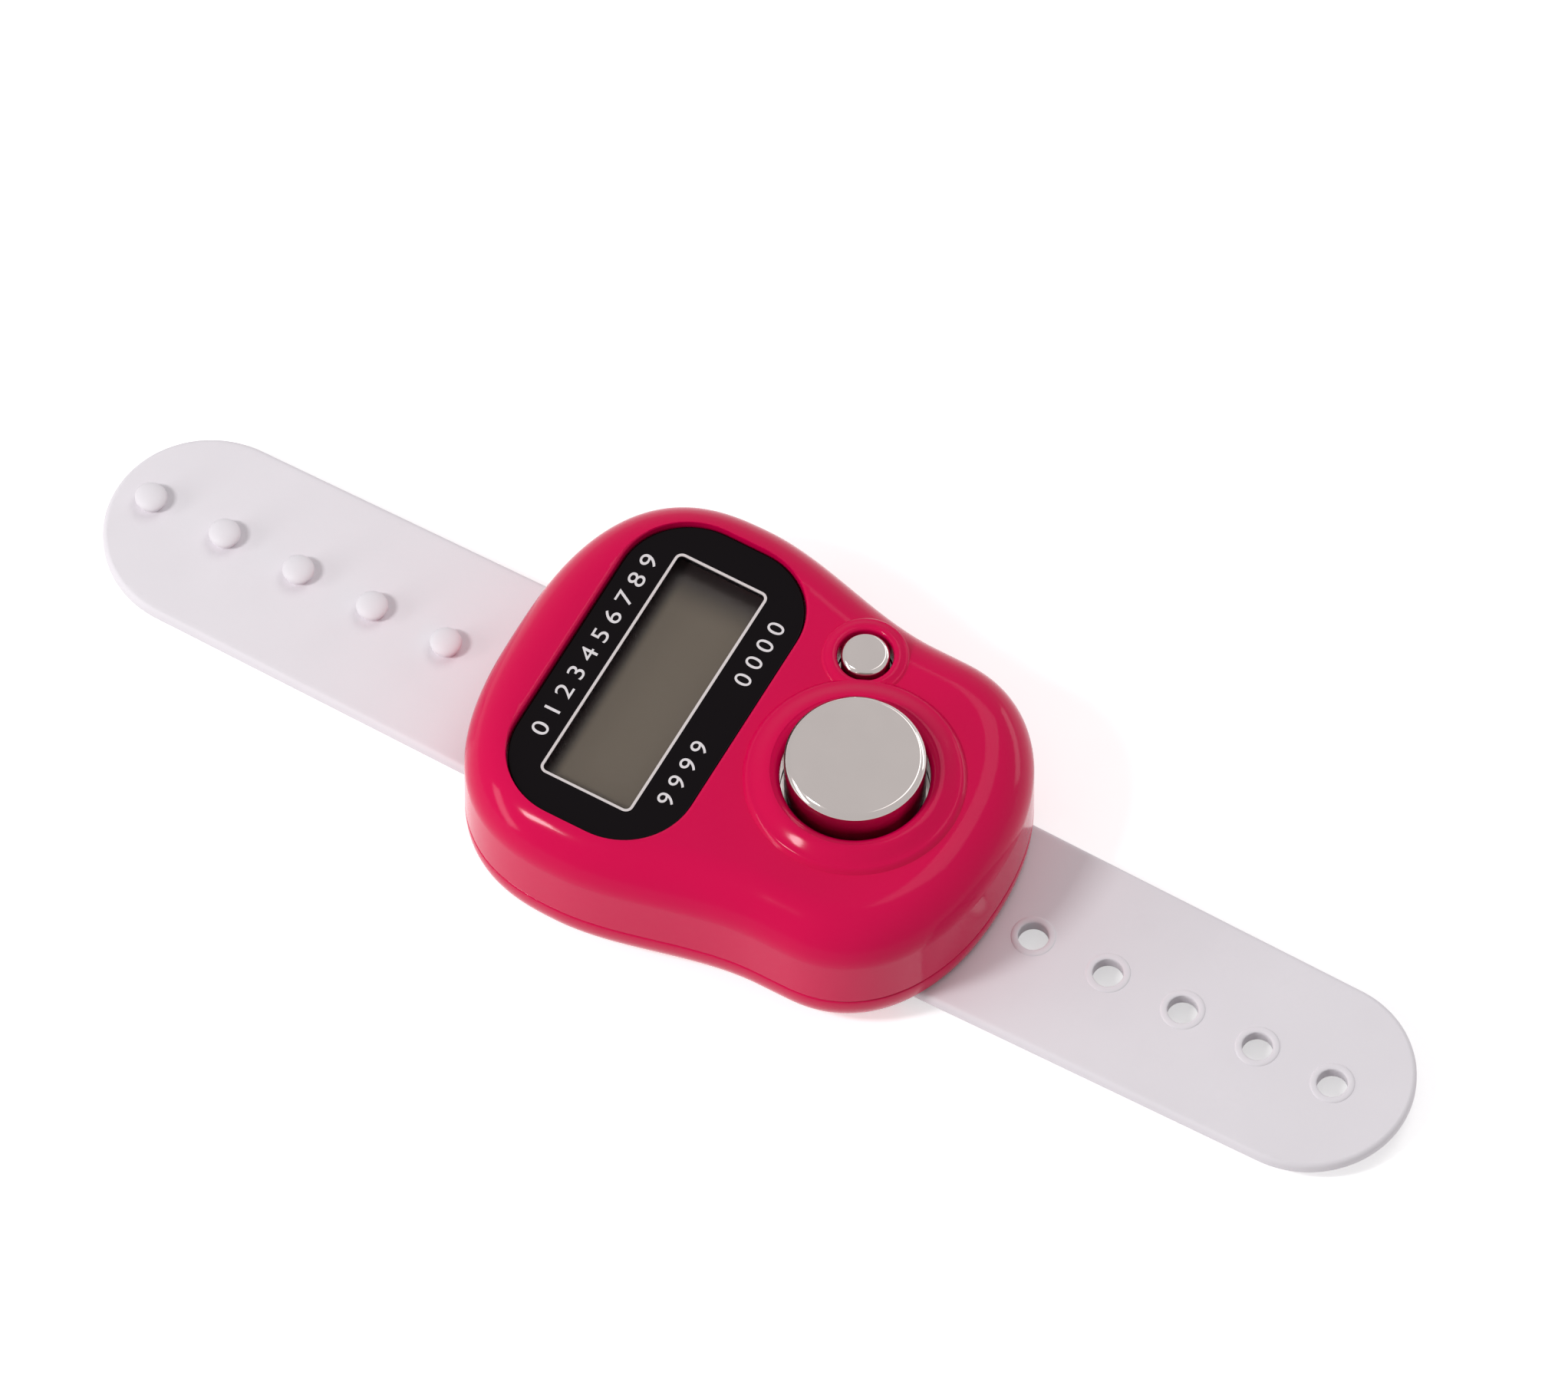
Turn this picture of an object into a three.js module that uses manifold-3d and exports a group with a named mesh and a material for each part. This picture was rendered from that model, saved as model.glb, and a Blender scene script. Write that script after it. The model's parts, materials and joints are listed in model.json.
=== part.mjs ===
// Digital finger tally counter: a two-part case with a display and two push buttons, on a soft strap.
// Millimetres, +Z up. +X runs along the strap towards the count button, and +Y towards the reset button.
// The origin is the middle of the underside, where the counter stands.

import * as THREE from "three";
import { mergeVertices } from "three/addons/utils/BufferGeometryUtils.js";
import Module from "manifold-3d";

const wasm = await Module();
wasm.setup();

// Case outline: a wide end round the display and a narrower end round the count button.
const CASE_LENGTH = 39.1;
const WIDE_END_WIDTH = 31.3;
const NARROW_END_WIDTH = 26.3;
const WIDE_END_X = -7.6;
const NARROW_END_X = 9.6;
const WAIST_END_X = 7.2;
const WIDE_END_POWER = 2.6;
const NARROW_END_POWER = 2.2;

// Case in profile.
const CASE_HEIGHT = 12.65;
const PARTING_HEIGHT = 4.4;
const UNDERSIDE_ROUND = 3.8;
const SHOULDER_ROUND = 3.6;
const WALL = 1.4;
const FLOOR_THICKNESS = 1.2;
const TOP_THICKNESS = 1.9;
const CAVITY_ROUND = 1.0;
const PARTING_GAP = 0.05;
const LIP_HEIGHT = 1.0;
const LIP_ROOT = 1.3;
const LIP_THICKNESS = 0.6;
const LIP_CLEARANCE = 0.1;

// Display window, its recess, and the printed frame that it shows.
const DISPLAY_X = -8.3;
const VIEW_WIDTH = 7.2;
const VIEW_TO_WINDOW_END = 2.85;
const WINDOW_X = -8.1;
const WINDOW_WIDTH = 13.9;
const WINDOW_TO_SIDE = 2.8;
const WINDOW_CORNER = 5.3;
const WINDOW_THICKNESS = 0.75;
const WINDOW_SINK = 0.6;
const WINDOW_CLEARANCE = 0.1;
const TAPE_THICKNESS = 0.1;
const APERTURE_MARGIN = 0.4;

// Display glass, its carrier and the rubber strip that connects it to the board.
const GLASS_THICKNESS = 0.9;
const GLASS_PAST_VIEW = 0.35;
const GLASS_WIDTH = 10.0;
const CONTACT_LEDGE = 1.7;
const REFLECTOR_THICKNESS = 0.18;
const CARRIER_WALL = 0.5;
const CARRIER_CLEARANCE = 0.08;
const SHELF_THICKNESS = 0.3;
const ZEBRA_WIDTH = 1.1;
const ZEBRA_TO_GLASS_END = 1.85;

// Circuit board and what is soldered to it.
const BOARD_THICKNESS = 0.8;
const BOARD_CLEARANCE = 0.3;
const CHIP_X = 0.6;
const CHIP_Y = -4.4;
const CHIP_RADIUS = 2.1;
const CHIP_HEIGHT = 0.9;
const CHIP_EDGE = 0.18;
const CRYSTAL_X = 3.6;
const CRYSTAL_Y = 6.4;
const CRYSTAL_RADIUS = 0.95;
const CRYSTAL_LENGTH = 6.0;
const CAPACITOR_SIZE = 1.25;
const CAPACITOR_LENGTH = 2.0;
const CAPACITOR_X = 11.6;
const CAPACITOR_SPACING = 3.4;
const RESISTOR_X = 6.8;
const RESISTOR_HEIGHT = 0.55;

// Count button, its raised collar and the rubber dome below it.
const COUNT_X = 7.9;
const COUNT_RADIUS = 5.0;
const COUNT_TOP = 15.65;
const COUNT_TRAVEL = 1.0;
const COUNT_BORE_CLEARANCE = 0.3;
const COUNT_BEVEL = 0.35;
const COUNT_PUSHER_RADIUS = 2.5;
const COUNT_DOME_RADIUS = 4.0;
const COUNT_DOME_TOP_RADIUS = 2.0;
const COLLAR_RADIUS = 7.9;
const COLLAR_HEIGHT = 1.0;
const COLLAR_RIM = 0.7;

// Reset button, which works the same way.
const RESET_X = 3.8;
const RESET_Y = 8.8;
const RESET_RADIUS = 1.73;
const RESET_TOP = 13.2;
const RESET_TRAVEL = 0.7;
const RESET_BORE_CLEARANCE = 0.27;
const RESET_BEVEL = 0.2;
const RESET_PUSHER_RADIUS = 0.87;
const RESET_DOME_RADIUS = 2.08;
const RESET_DOME_TOP_RADIUS = 0.87;
const RESET_COLLAR_RADIUS = 3.1;
const RESET_COLLAR_HEIGHT = 0.35;
const RESET_COLLAR_RIM = 0.35;

// The rounded flank of a collar, as shares of the way in from its foot and of its height.
const COLLAR_FLANK = [
  [0.08, 0.2],
  [0.24, 0.42],
  [0.6, 0.72],
  [0.85, 0.93],
];

// Parts that both buttons share.
const FLANGE_WIDTH = 0.8;
const FLANGE_THICKNESS = 0.6;
const FLANGE_CLEARANCE = 0.3;
const FLANGE_ROOM = 0.5;
const DOME_REST = 0.25;
const DOME_SKIRT = 0.3;
const DOME_CLEARANCE = 0.08;

// Coin cell and its two sprung contacts.
const CELL_X = -8.3;
const CELL_DIAMETER = 11.6;
const CELL_THICKNESS = 3.05;
const CELL_STEP = 0.35;
const CONTACT_THICKNESS = 0.25;
const CONTACT_WIDTH = 3.0;
const CONTACT_GAP = 0.06;
const CELL_CLEARANCE = 0.2;
const CELL_WALL = 0.8;
const CELL_WALL_HEIGHT = 2.0;

// Case screws, two at each end and this far in from the sides, each in a post that clamps the board.
const WIDE_SCREW_X = -8.3;
const NARROW_SCREW_X = 9.5;
const SCREW_INSET = 3.25;
const SCREW_RADIUS = 0.7;
const SCREW_HEAD_RADIUS = 1.3;
const SCREW_HEAD_HEIGHT = 1.0;
const SCREW_HEAD_BEVEL = 0.35;
const SCREW_SEAT_HEIGHT = 2.4;
const SCREW_BITE = 1.7;
const SCREW_CLEARANCE = 0.06;
const POST_RADIUS = 1.35;
const WELL_WALL = 0.6;

// Strap, and the channel with two bars that holds it under the case.
const STRAP_LENGTH = 104;
const STRAP_WIDTH = 16.0;
const STRAP_TIP_WIDTH = 15.2;
const STRAP_THICKNESS = 1.1;
const BAR_THICKNESS = 1.0;
const BAR_X = 12.1;
const BAR_WIDTH = 3.0;
const STRAP_BELOW = 0.2;
const STRAP_ABOVE = 0.3;
const STRAP_BESIDE = 0.2;
const CHANNEL_WALL = 1.0;
const CHANNEL_ROOF = 0.9;

// The strap bends at its joints, one between each pair of holes or studs.
const BEND_GAP = 0.15;
const FIRST_BEND_GAP = 0.6;
const FASTENERS = 5;
const FIRST_HOLE_X = 22.3;
const LAST_HOLE_TO_TIP = 5.7;
const LAST_STUD_TO_TIP = 2.8;
const HOLE_RADIUS = 1.1;
const STUD_RADIUS = 1.15;
const STUD_NECK_RADIUS = 0.85;
const STUD_NECK_HEIGHT = 0.45;
const STUD_HEIGHT = 1.3;

// The rounded head of a stud, as shares of its radius and of its whole height.
const STUD_HEAD = [
  [1, 0.5],
  [0.85, 0.8],
  [0.4, 1],
];

// How finely round shapes are cut.
const OUTLINE_STEPS = 12;
const FILLET_STEPS = 4;
const ROUND_SEGMENTS = 28;
const SMALL_SEGMENTS = 14;
const CORNER_SEGMENTS = 8;
const FACE_GAP = 0.02;
const CUT_PAST = 1;
const WELD_DISTANCE = 1e-4;

// Lengths along the display, each from the one outside it.
const windowLength = WIDE_END_WIDTH - 2 * WINDOW_TO_SIDE;
const viewLength = windowLength - 2 * VIEW_TO_WINDOW_END;
const glassLength = viewLength + 2 * GLASS_PAST_VIEW;
const zebraLength = glassLength - 2 * ZEBRA_TO_GLASS_END;

// Heights that follow from the sizes above, from the top of the case down to the board.
const windowTop = CASE_HEIGHT - WINDOW_SINK;
const windowBottom = windowTop - WINDOW_THICKNESS;
const ledgeTop = windowBottom - TAPE_THICKNESS - 2 * FACE_GAP;
const ceiling = CASE_HEIGHT - TOP_THICKNESS;
const frontGlassTop = ceiling - FACE_GAP;
const frontGlassBottom = frontGlassTop - GLASS_THICKNESS;
const rearGlassTop = frontGlassBottom - FACE_GAP;
const rearGlassBottom = rearGlassTop - GLASS_THICKNESS;
const reflectorTop = rearGlassBottom - FACE_GAP;
const reflectorBottom = reflectorTop - REFLECTOR_THICKNESS;
const flangeTop = ceiling - FLANGE_CLEARANCE;
const flangeBottom = flangeTop - FLANGE_THICKNESS;
const longestTravel = Math.max(COUNT_TRAVEL, RESET_TRAVEL);
const boardTop = Math.min(reflectorBottom - SHELF_THICKNESS, flangeBottom - longestTravel - FLANGE_ROOM);
const boardBottom = boardTop - BOARD_THICKNESS;

// Heights that follow from the strap up to the coin cell.
const strapBottom = BAR_THICKNESS + STRAP_BELOW;
const strapTop = strapBottom + STRAP_THICKNESS;
const channelTop = strapTop + STRAP_ABOVE;
const channelHalfWidth = STRAP_WIDTH / 2 + STRAP_BESIDE;
const channelFloor = channelTop + CHANNEL_ROOF;
const cellBottom = channelFloor + CONTACT_THICKNESS + 2 * CONTACT_GAP;
const cellTop = cellBottom + CELL_THICKNESS;
const firstBendX = BAR_X + BAR_WIDTH / 2 + FIRST_BEND_GAP;

// Holes and studs share one pitch, so that they can fasten at any place.
const fastenerPitch = (STRAP_LENGTH / 2 - LAST_HOLE_TO_TIP - FIRST_HOLE_X) / (FASTENERS - 1);
const firstStudX = STRAP_LENGTH / 2 - LAST_STUD_TO_TIP - (FASTENERS - 1) * fastenerPitch;

// The display glass lies a little to the left of the view, where it meets the rubber strip.
const glassRight = DISPLAY_X + GLASS_WIDTH / 2 - CONTACT_LEDGE / 4;
const glassLeft = glassRight - GLASS_WIDTH;

// The four screws, one on each side of the strap at each end.
const screwPlaces = [
  { x: WIDE_SCREW_X, y: WIDE_END_WIDTH / 2 - SCREW_INSET },
  { x: NARROW_SCREW_X, y: NARROW_END_WIDTH / 2 - SCREW_INSET },
].flatMap(({ x, y }) => [
  { x, y },
  { x, y: -y },
]);

const counter = new THREE.Group();

// Colour, roughness and metalness of each material.
const plastic = (color, roughness) => new THREE.MeshStandardMaterial({ color, roughness, metalness: 0 });
const metal = (color, roughness) => new THREE.MeshStandardMaterial({ color, roughness, metalness: 1 });
const CASE_PINK = plastic(0xd4104c, 0.25);
const PANEL_BLACK = plastic(0x171014, 0.1);
const TAPE_WHITE = plastic(0xe8e8e4, 0.8);
const GLASS_GREY = plastic(0x6b6358, 0.1);
const FILM_SILVER = metal(0xb8b8b0, 0.4);
const CARRIER_WHITE = plastic(0xe6e6e2, 0.5);
const ZEBRA_GREY = plastic(0x4a4a4c, 0.8);
const BOARD_GREEN = plastic(0x1f5a38, 0.5);
const EPOXY_BLACK = plastic(0x101012, 0.35);
const TIN = metal(0xc4c4c0, 0.35);
const CERAMIC_TAN = plastic(0xa08060, 0.6);
const CHROME = metal(0xd8d4d0, 0.08);
const DOME_RUBBER = plastic(0xbfbfc2, 0.8);
const STEEL = metal(0xb0b0b2, 0.3);
const SILICONE = plastic(0xe2dee2, 0.6);

// A closed three.js geometry as a solid that can be joined and cut.
function solid(geometry) {
  const bare = geometry.clone();
  bare.deleteAttribute("normal");
  bare.deleteAttribute("uv");
  const merged = mergeVertices(bare, WELD_DISTANCE);
  const vertProperties = new Float32Array(merged.attributes.position.array);
  const triVerts = new Uint32Array(merged.index.array);
  return new wasm.Manifold(new wasm.Mesh({ numProp: 3, vertProperties, triVerts }));
}

// A solid as a three.js geometry again.
function geometryOf(shape) {
  const data = shape.getMesh();
  const geometry = new THREE.BufferGeometry();
  geometry.setAttribute("position", new THREE.BufferAttribute(data.vertProperties, 3));
  geometry.setIndex(new THREE.BufferAttribute(data.triVerts, 1));
  geometry.computeVertexNormals();
  return geometry;
}

// Adds one named piece to the counter.
function piece(name, shape, material) {
  const mesh = new THREE.Mesh(geometryOf(shape), material);
  mesh.name = name;
  counter.add(mesh);
}

function joined(...shapes) {
  return shapes.reduce((all, shape) => all.add(shape));
}

// A block between two corners.
function block(x0, x1, y0, y1, z0, z1) {
  const geometry = new THREE.BoxGeometry(x1 - x0, y1 - y0, z1 - z0);
  geometry.translate((x0 + x1) / 2, (y0 + y1) / 2, (z0 + z1) / 2);
  return solid(geometry);
}

// A round bar standing at x, y.
function rod(x, y, radius, z0, z1, segments = ROUND_SEGMENTS) {
  const geometry = new THREE.CylinderGeometry(radius, radius, z1 - z0, segments);
  geometry.rotateX(Math.PI / 2);
  geometry.translate(x, y, (z0 + z1) / 2);
  return solid(geometry);
}

// A turned shape standing at x, y. Its profile lists radius and height from the bottom up.
function turned(x, y, profile, segments = ROUND_SEGMENTS) {
  const points = profile.map(([radius, height]) => new THREE.Vector2(radius, height));
  const geometry = new THREE.LatheGeometry(points, segments);
  geometry.rotateX(Math.PI / 2);
  geometry.translate(x, y, 0);
  return solid(geometry);
}

// A flat outline given thickness between two heights.
function plate(shape, z0, z1) {
  const options = { depth: z1 - z0, bevelEnabled: false, curveSegments: CORNER_SEGMENTS };
  const geometry = new THREE.ExtrudeGeometry(shape, options);
  geometry.translate(0, 0, z0);
  return solid(geometry);
}

// A strip bent in the XZ plane, from its outline of x and z pairs, on the middle line of the case.
function bentStrip(outline, width) {
  const shape = new THREE.Shape(outline.map(([x, z]) => new THREE.Vector2(x, z)));
  const geometry = new THREE.ExtrudeGeometry(shape, { depth: width, bevelEnabled: false });
  geometry.rotateX(Math.PI / 2);
  geometry.translate(0, width / 2, 0);
  return solid(geometry);
}

function roundedRectangle(x, width, length, corner) {
  const left = x - width / 2;
  const right = x + width / 2;
  const end = length / 2;
  const shape = new THREE.Shape();
  shape.moveTo(left + corner, -end);
  shape.lineTo(right - corner, -end);
  shape.absarc(right - corner, -end + corner, corner, -Math.PI / 2, 0, false);
  shape.lineTo(right, end - corner);
  shape.absarc(right - corner, end - corner, corner, 0, Math.PI / 2, false);
  shape.lineTo(left + corner, end);
  shape.absarc(left + corner, end - corner, corner, Math.PI / 2, Math.PI, false);
  shape.lineTo(left, -end + corner);
  shape.absarc(left + corner, -end + corner, corner, Math.PI, 1.5 * Math.PI, false);
  return shape;
}

// Half of the case outline, from the middle of the narrow end to the middle of the wide end.
function halfOutline() {
  const narrow = NARROW_END_WIDTH / 2;
  const wide = WIDE_END_WIDTH / 2;
  const narrowReach = CASE_LENGTH / 2 - NARROW_END_X;
  const wideReach = CASE_LENGTH / 2 + WIDE_END_X;
  const points = [];
  for (let i = 0; i < OUTLINE_STEPS; i++) {
    const angle = (Math.PI / 2) * (i / OUTLINE_STEPS);
    const x = NARROW_END_X + narrowReach * Math.cos(angle) ** (2 / NARROW_END_POWER);
    points.push([x, narrow * Math.sin(angle) ** (2 / NARROW_END_POWER)]);
  }
  const waistSteps = OUTLINE_STEPS / 2;
  for (let i = 0; i < waistSteps; i++) {
    const x = THREE.MathUtils.lerp(NARROW_END_X, WIDE_END_X, i / waistSteps);
    const t = THREE.MathUtils.smoothstep(x, WIDE_END_X, WAIST_END_X);
    points.push([x, THREE.MathUtils.lerp(wide, narrow, t)]);
  }
  for (let i = 0; i <= OUTLINE_STEPS; i++) {
    const angle = (Math.PI / 2) * (1 - i / OUTLINE_STEPS);
    const x = WIDE_END_X - wideReach * Math.cos(angle) ** (2 / WIDE_END_POWER);
    points.push([x, wide * Math.sin(angle) ** (2 / WIDE_END_POWER)]);
  }
  return points;
}

// The whole outline anticlockwise, with the way out of the case at each point.
function caseOutline() {
  const half = halfOutline();
  const mirrored = half.slice(1, -1).reverse();
  const points = [...half, ...mirrored.map(([x, y]) => [x, -y])];
  const count = points.length;
  return points.map(([x, y], i) => {
    const [x0, y0] = points[(i + count - 1) % count];
    const [x1, y1] = points[(i + 1) % count];
    const length = Math.hypot(x1 - x0, y1 - y0);
    return { x, y, outX: (y1 - y0) / length, outY: (x0 - x1) / length };
  });
}
const OUTLINE = caseOutline();

// A solid whose sides follow the case outline, through rings of inset and height.
function loft(rings) {
  const count = OUTLINE.length;
  const positions = [];
  for (const [inset, height] of rings)
    for (const p of OUTLINE) positions.push(p.x - inset * p.outX, p.y - inset * p.outY, height);
  const index = [];
  for (let ring = 0; ring + 1 < rings.length; ring++)
    for (let i = 0; i < count; i++) {
      const a = ring * count + i;
      const b = ring * count + ((i + 1) % count);
      index.push(a, b, b + count, a, b + count, a + count);
    }
  const flat = OUTLINE.map((p) => new THREE.Vector2(p.x, p.y));
  const last = (rings.length - 1) * count;
  for (const [a, b, c] of THREE.ShapeUtils.triangulateShape(flat, [])) {
    index.push(a, c, b);
    index.push(last + a, last + b, last + c);
  }
  const geometry = new THREE.BufferGeometry();
  geometry.setAttribute("position", new THREE.Float32BufferAttribute(positions, 3));
  geometry.setIndex(index);
  return solid(geometry);
}

// Rings of a quarter-round edge, from the side wall up to a flat top.
function roundedTop(inset, top, radius) {
  const rings = [];
  for (let i = 0; i <= FILLET_STEPS; i++) {
    const angle = (Math.PI / 2) * (i / FILLET_STEPS);
    rings.push([inset + radius * (1 - Math.cos(angle)), top - radius * (1 - Math.sin(angle))]);
  }
  return rings;
}

// The same, from a flat underside up to the side wall.
function roundedUnderside(inset, bottom, radius) {
  const rings = roundedTop(inset, 0, radius).reverse();
  return rings.map(([ringInset, height]) => [ringInset, bottom - height]);
}

// The raised collar round a button, as a turned bump on the flat top.
function collar(x, y, footRadius, rimRadius, height) {
  const rimWidth = footRadius - rimRadius;
  const top = CASE_HEIGHT + height;
  return turned(x, y, [
    [0, ceiling],
    [footRadius, ceiling],
    [footRadius, CASE_HEIGHT],
    ...COLLAR_FLANK.map(([inward, up]) => [footRadius - inward * rimWidth, CASE_HEIGHT + up * height]),
    [rimRadius, top],
    [0, top],
  ]);
}

function frontShell() {
  const outside = loft([[0, PARTING_HEIGHT + PARTING_GAP], ...roundedTop(0, CASE_HEIGHT, SHOULDER_ROUND)]);
  const countBore = COUNT_RADIUS + COUNT_BORE_CLEARANCE;
  const resetBore = RESET_RADIUS + RESET_BORE_CLEARANCE;
  const countCollar = collar(COUNT_X, 0, COLLAR_RADIUS, countBore + COLLAR_RIM, COLLAR_HEIGHT);
  const resetRim = resetBore + RESET_COLLAR_RIM;
  const resetCollar = collar(RESET_X, RESET_Y, RESET_COLLAR_RADIUS, resetRim, RESET_COLLAR_HEIGHT);
  const hollow = loft([[WALL, PARTING_HEIGHT - WALL], ...roundedTop(WALL, ceiling, CAVITY_ROUND)]);
  let shell = joined(outside, countCollar, resetCollar).subtract(hollow);
  for (const { x, y } of screwPlaces) {
    shell = shell.add(rod(x, y, POST_RADIUS, boardTop + FACE_GAP, ceiling + WALL / 2, SMALL_SEGMENTS));
    const pilotTop = boardTop + SCREW_BITE + SCREW_CLEARANCE;
    shell = shell.subtract(rod(x, y, SCREW_RADIUS + SCREW_CLEARANCE, boardBottom, pilotTop, SMALL_SEGMENTS));
  }
  shell = shell.subtract(rod(COUNT_X, 0, countBore, boardTop, COUNT_TOP, 2 * ROUND_SEGMENTS));
  shell = shell.subtract(rod(RESET_X, RESET_Y, resetBore, boardTop, RESET_TOP));
  return shell.subtract(windowRecess()).subtract(displayAperture());
}

function windowRecess() {
  const width = WINDOW_WIDTH + 2 * WINDOW_CLEARANCE;
  const length = windowLength + 2 * WINDOW_CLEARANCE;
  const shape = roundedRectangle(WINDOW_X, width, length, WINDOW_CORNER + WINDOW_CLEARANCE);
  return plate(shape, ledgeTop, CASE_HEIGHT + CUT_PAST);
}

function displayAperture() {
  const halfWidth = VIEW_WIDTH / 2 + APERTURE_MARGIN;
  const halfLength = viewLength / 2 + APERTURE_MARGIN;
  return block(DISPLAY_X - halfWidth, DISPLAY_X + halfWidth, -halfLength, halfLength, boardTop, CASE_HEIGHT);
}

function backShell() {
  const outside = loft([...roundedUnderside(0, 0, UNDERSIDE_ROUND), [0, PARTING_HEIGHT]]);
  const innerRound = UNDERSIDE_ROUND - WALL;
  const hollow = loft([...roundedUnderside(WALL, FLOOR_THICKNESS, innerRound), [WALL, CASE_HEIGHT]]);
  const lipOutside = WALL + LIP_CLEARANCE;
  const lipTop = PARTING_HEIGHT + LIP_HEIGHT;
  const lip = loft([[lipOutside, PARTING_HEIGHT - LIP_ROOT], [lipOutside, lipTop]]);
  const lipHollow = loft([[lipOutside + LIP_THICKNESS, 0], [lipOutside + LIP_THICKNESS, CASE_HEIGHT]]);
  const bodyWithLip = outside.subtract(hollow).add(lip.subtract(lipHollow));
  const tunnelHalfWidth = channelHalfWidth + CHANNEL_WALL;
  const reach = CASE_LENGTH;
  const tunnel = block(-reach, reach, -tunnelHalfWidth, tunnelHalfWidth, 0, channelFloor);
  let shell = joined(bodyWithLip, tunnel.intersect(outside), cellWall());
  for (const { x, y } of screwPlaces)
    shell = shell.add(screwPost(x, y).intersect(outside.add(hollow)));
  shell = shell.subtract(block(-reach, reach, -channelHalfWidth, channelHalfWidth, -CUT_PAST, channelTop));
  for (const side of [-1, 1]) shell = shell.add(strapBar(side * BAR_X));
  return screwPlaces.reduce((cut, { x, y }) => cut.subtract(screwPassage(x, y)), shell);
}

// A post from the floor up to the board, wider at its foot round the well of the screw's head.
function screwPost(x, y) {
  const footRadius = SCREW_HEAD_RADIUS + 2 * SCREW_CLEARANCE + WELL_WALL;
  const foot = rod(x, y, footRadius, FLOOR_THICKNESS / 2, SCREW_SEAT_HEIGHT + WELL_WALL, SMALL_SEGMENTS);
  return foot.add(rod(x, y, POST_RADIUS, SCREW_SEAT_HEIGHT, boardBottom - FACE_GAP, SMALL_SEGMENTS));
}

// The ring that holds the coin cell, open where the lower contact comes out.
function cellWall() {
  const inner = CELL_DIAMETER / 2 + CELL_CLEARANCE;
  const top = channelFloor + CELL_WALL_HEIGHT;
  const ring = rod(CELL_X, 0, inner + CELL_WALL, channelTop, top).subtract(
    rod(CELL_X, 0, inner, channelFloor, top + CUT_PAST),
  );
  const slot = CONTACT_WIDTH / 2 + CELL_CLEARANCE;
  return ring.subtract(block(CELL_X - 2 * inner, CELL_X, -slot, slot, channelFloor, top + CUT_PAST));
}

// One of the two bars under the strap.
function strapBar(x) {
  const halfWidth = BAR_WIDTH / 2;
  const halfLength = channelHalfWidth + CHANNEL_WALL / 2;
  return block(x - halfWidth, x + halfWidth, -halfLength, halfLength, 0, BAR_THICKNESS);
}

// Room for a screw: its head's well from below, then its shank.
function screwPassage(x, y) {
  const headRoom = SCREW_HEAD_RADIUS + 2 * SCREW_CLEARANCE;
  const shankRoom = SCREW_RADIUS + SCREW_CLEARANCE;
  const well = rod(x, y, headRoom, -CUT_PAST, SCREW_SEAT_HEIGHT, SMALL_SEGMENTS);
  return well.add(rod(x, y, shankRoom, 0, boardTop, SMALL_SEGMENTS));
}

function caseScrew(x, y) {
  const seat = SCREW_SEAT_HEIGHT - FACE_GAP;
  const tip = boardTop + SCREW_BITE;
  const headBottom = seat - SCREW_HEAD_HEIGHT;
  const profile = [
    [0, headBottom],
    [SCREW_HEAD_RADIUS - SCREW_HEAD_BEVEL, headBottom],
    [SCREW_HEAD_RADIUS, headBottom + SCREW_HEAD_BEVEL],
    [SCREW_HEAD_RADIUS, seat],
    [SCREW_RADIUS, seat],
    [SCREW_RADIUS, tip - SCREW_RADIUS],
    [0, tip],
  ];
  return turned(x, y, profile, SMALL_SEGMENTS);
}

// A button: a flat-topped cap with a bevelled edge, a flange that keeps it in, and a pusher.
function button(x, y, radius, top, bevel, pusherRadius, travel) {
  const pusherBottom = boardTop + domeHeight(travel) + DOME_CLEARANCE + FACE_GAP;
  return turned(x, y, [
    [0, pusherBottom],
    [pusherRadius, pusherBottom],
    [pusherRadius, flangeBottom],
    [radius + FLANGE_WIDTH, flangeBottom],
    [radius + FLANGE_WIDTH, flangeTop],
    [radius, flangeTop],
    [radius, top - bevel],
    [radius - bevel, top],
    [0, top],
  ]);
}

// A dome stands as high as its button travels, and what is left of it when it is pressed flat.
function domeHeight(travel) {
  return travel + DOME_REST;
}

// The rubber dome under a button, on the board.
function dome(x, y, footRadius, topRadius, travel) {
  const bottom = boardTop + FACE_GAP;
  const top = bottom + domeHeight(travel);
  const skirtTop = bottom + DOME_SKIRT;
  const profile = [
    [0, bottom],
    [footRadius, bottom],
    [footRadius, skirtTop],
    [footRadius - DOME_SKIRT, skirtTop],
    [topRadius, top],
    [0, top],
  ];
  return turned(x, y, profile, SMALL_SEGMENTS);
}

function displayWindow() {
  const shape = roundedRectangle(WINDOW_X, WINDOW_WIDTH, windowLength, WINDOW_CORNER);
  return plate(shape, windowBottom, windowTop);
}

// Double-sided tape under the window, cut out round the view.
function windowTape() {
  const shape = roundedRectangle(
    WINDOW_X,
    WINDOW_WIDTH - WINDOW_CLEARANCE,
    windowLength - WINDOW_CLEARANCE,
    WINDOW_CORNER,
  );
  const bottom = ledgeTop + FACE_GAP;
  return plate(shape, bottom, bottom + TAPE_THICKNESS).subtract(displayAperture());
}

// Both sheets of display glass start at the right, and the front one reaches further left.
function glassSheet(leftReach, z0, z1) {
  return block(glassRight - leftReach, glassRight, -glassLength / 2, glassLength / 2, z0, z1);
}

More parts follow.
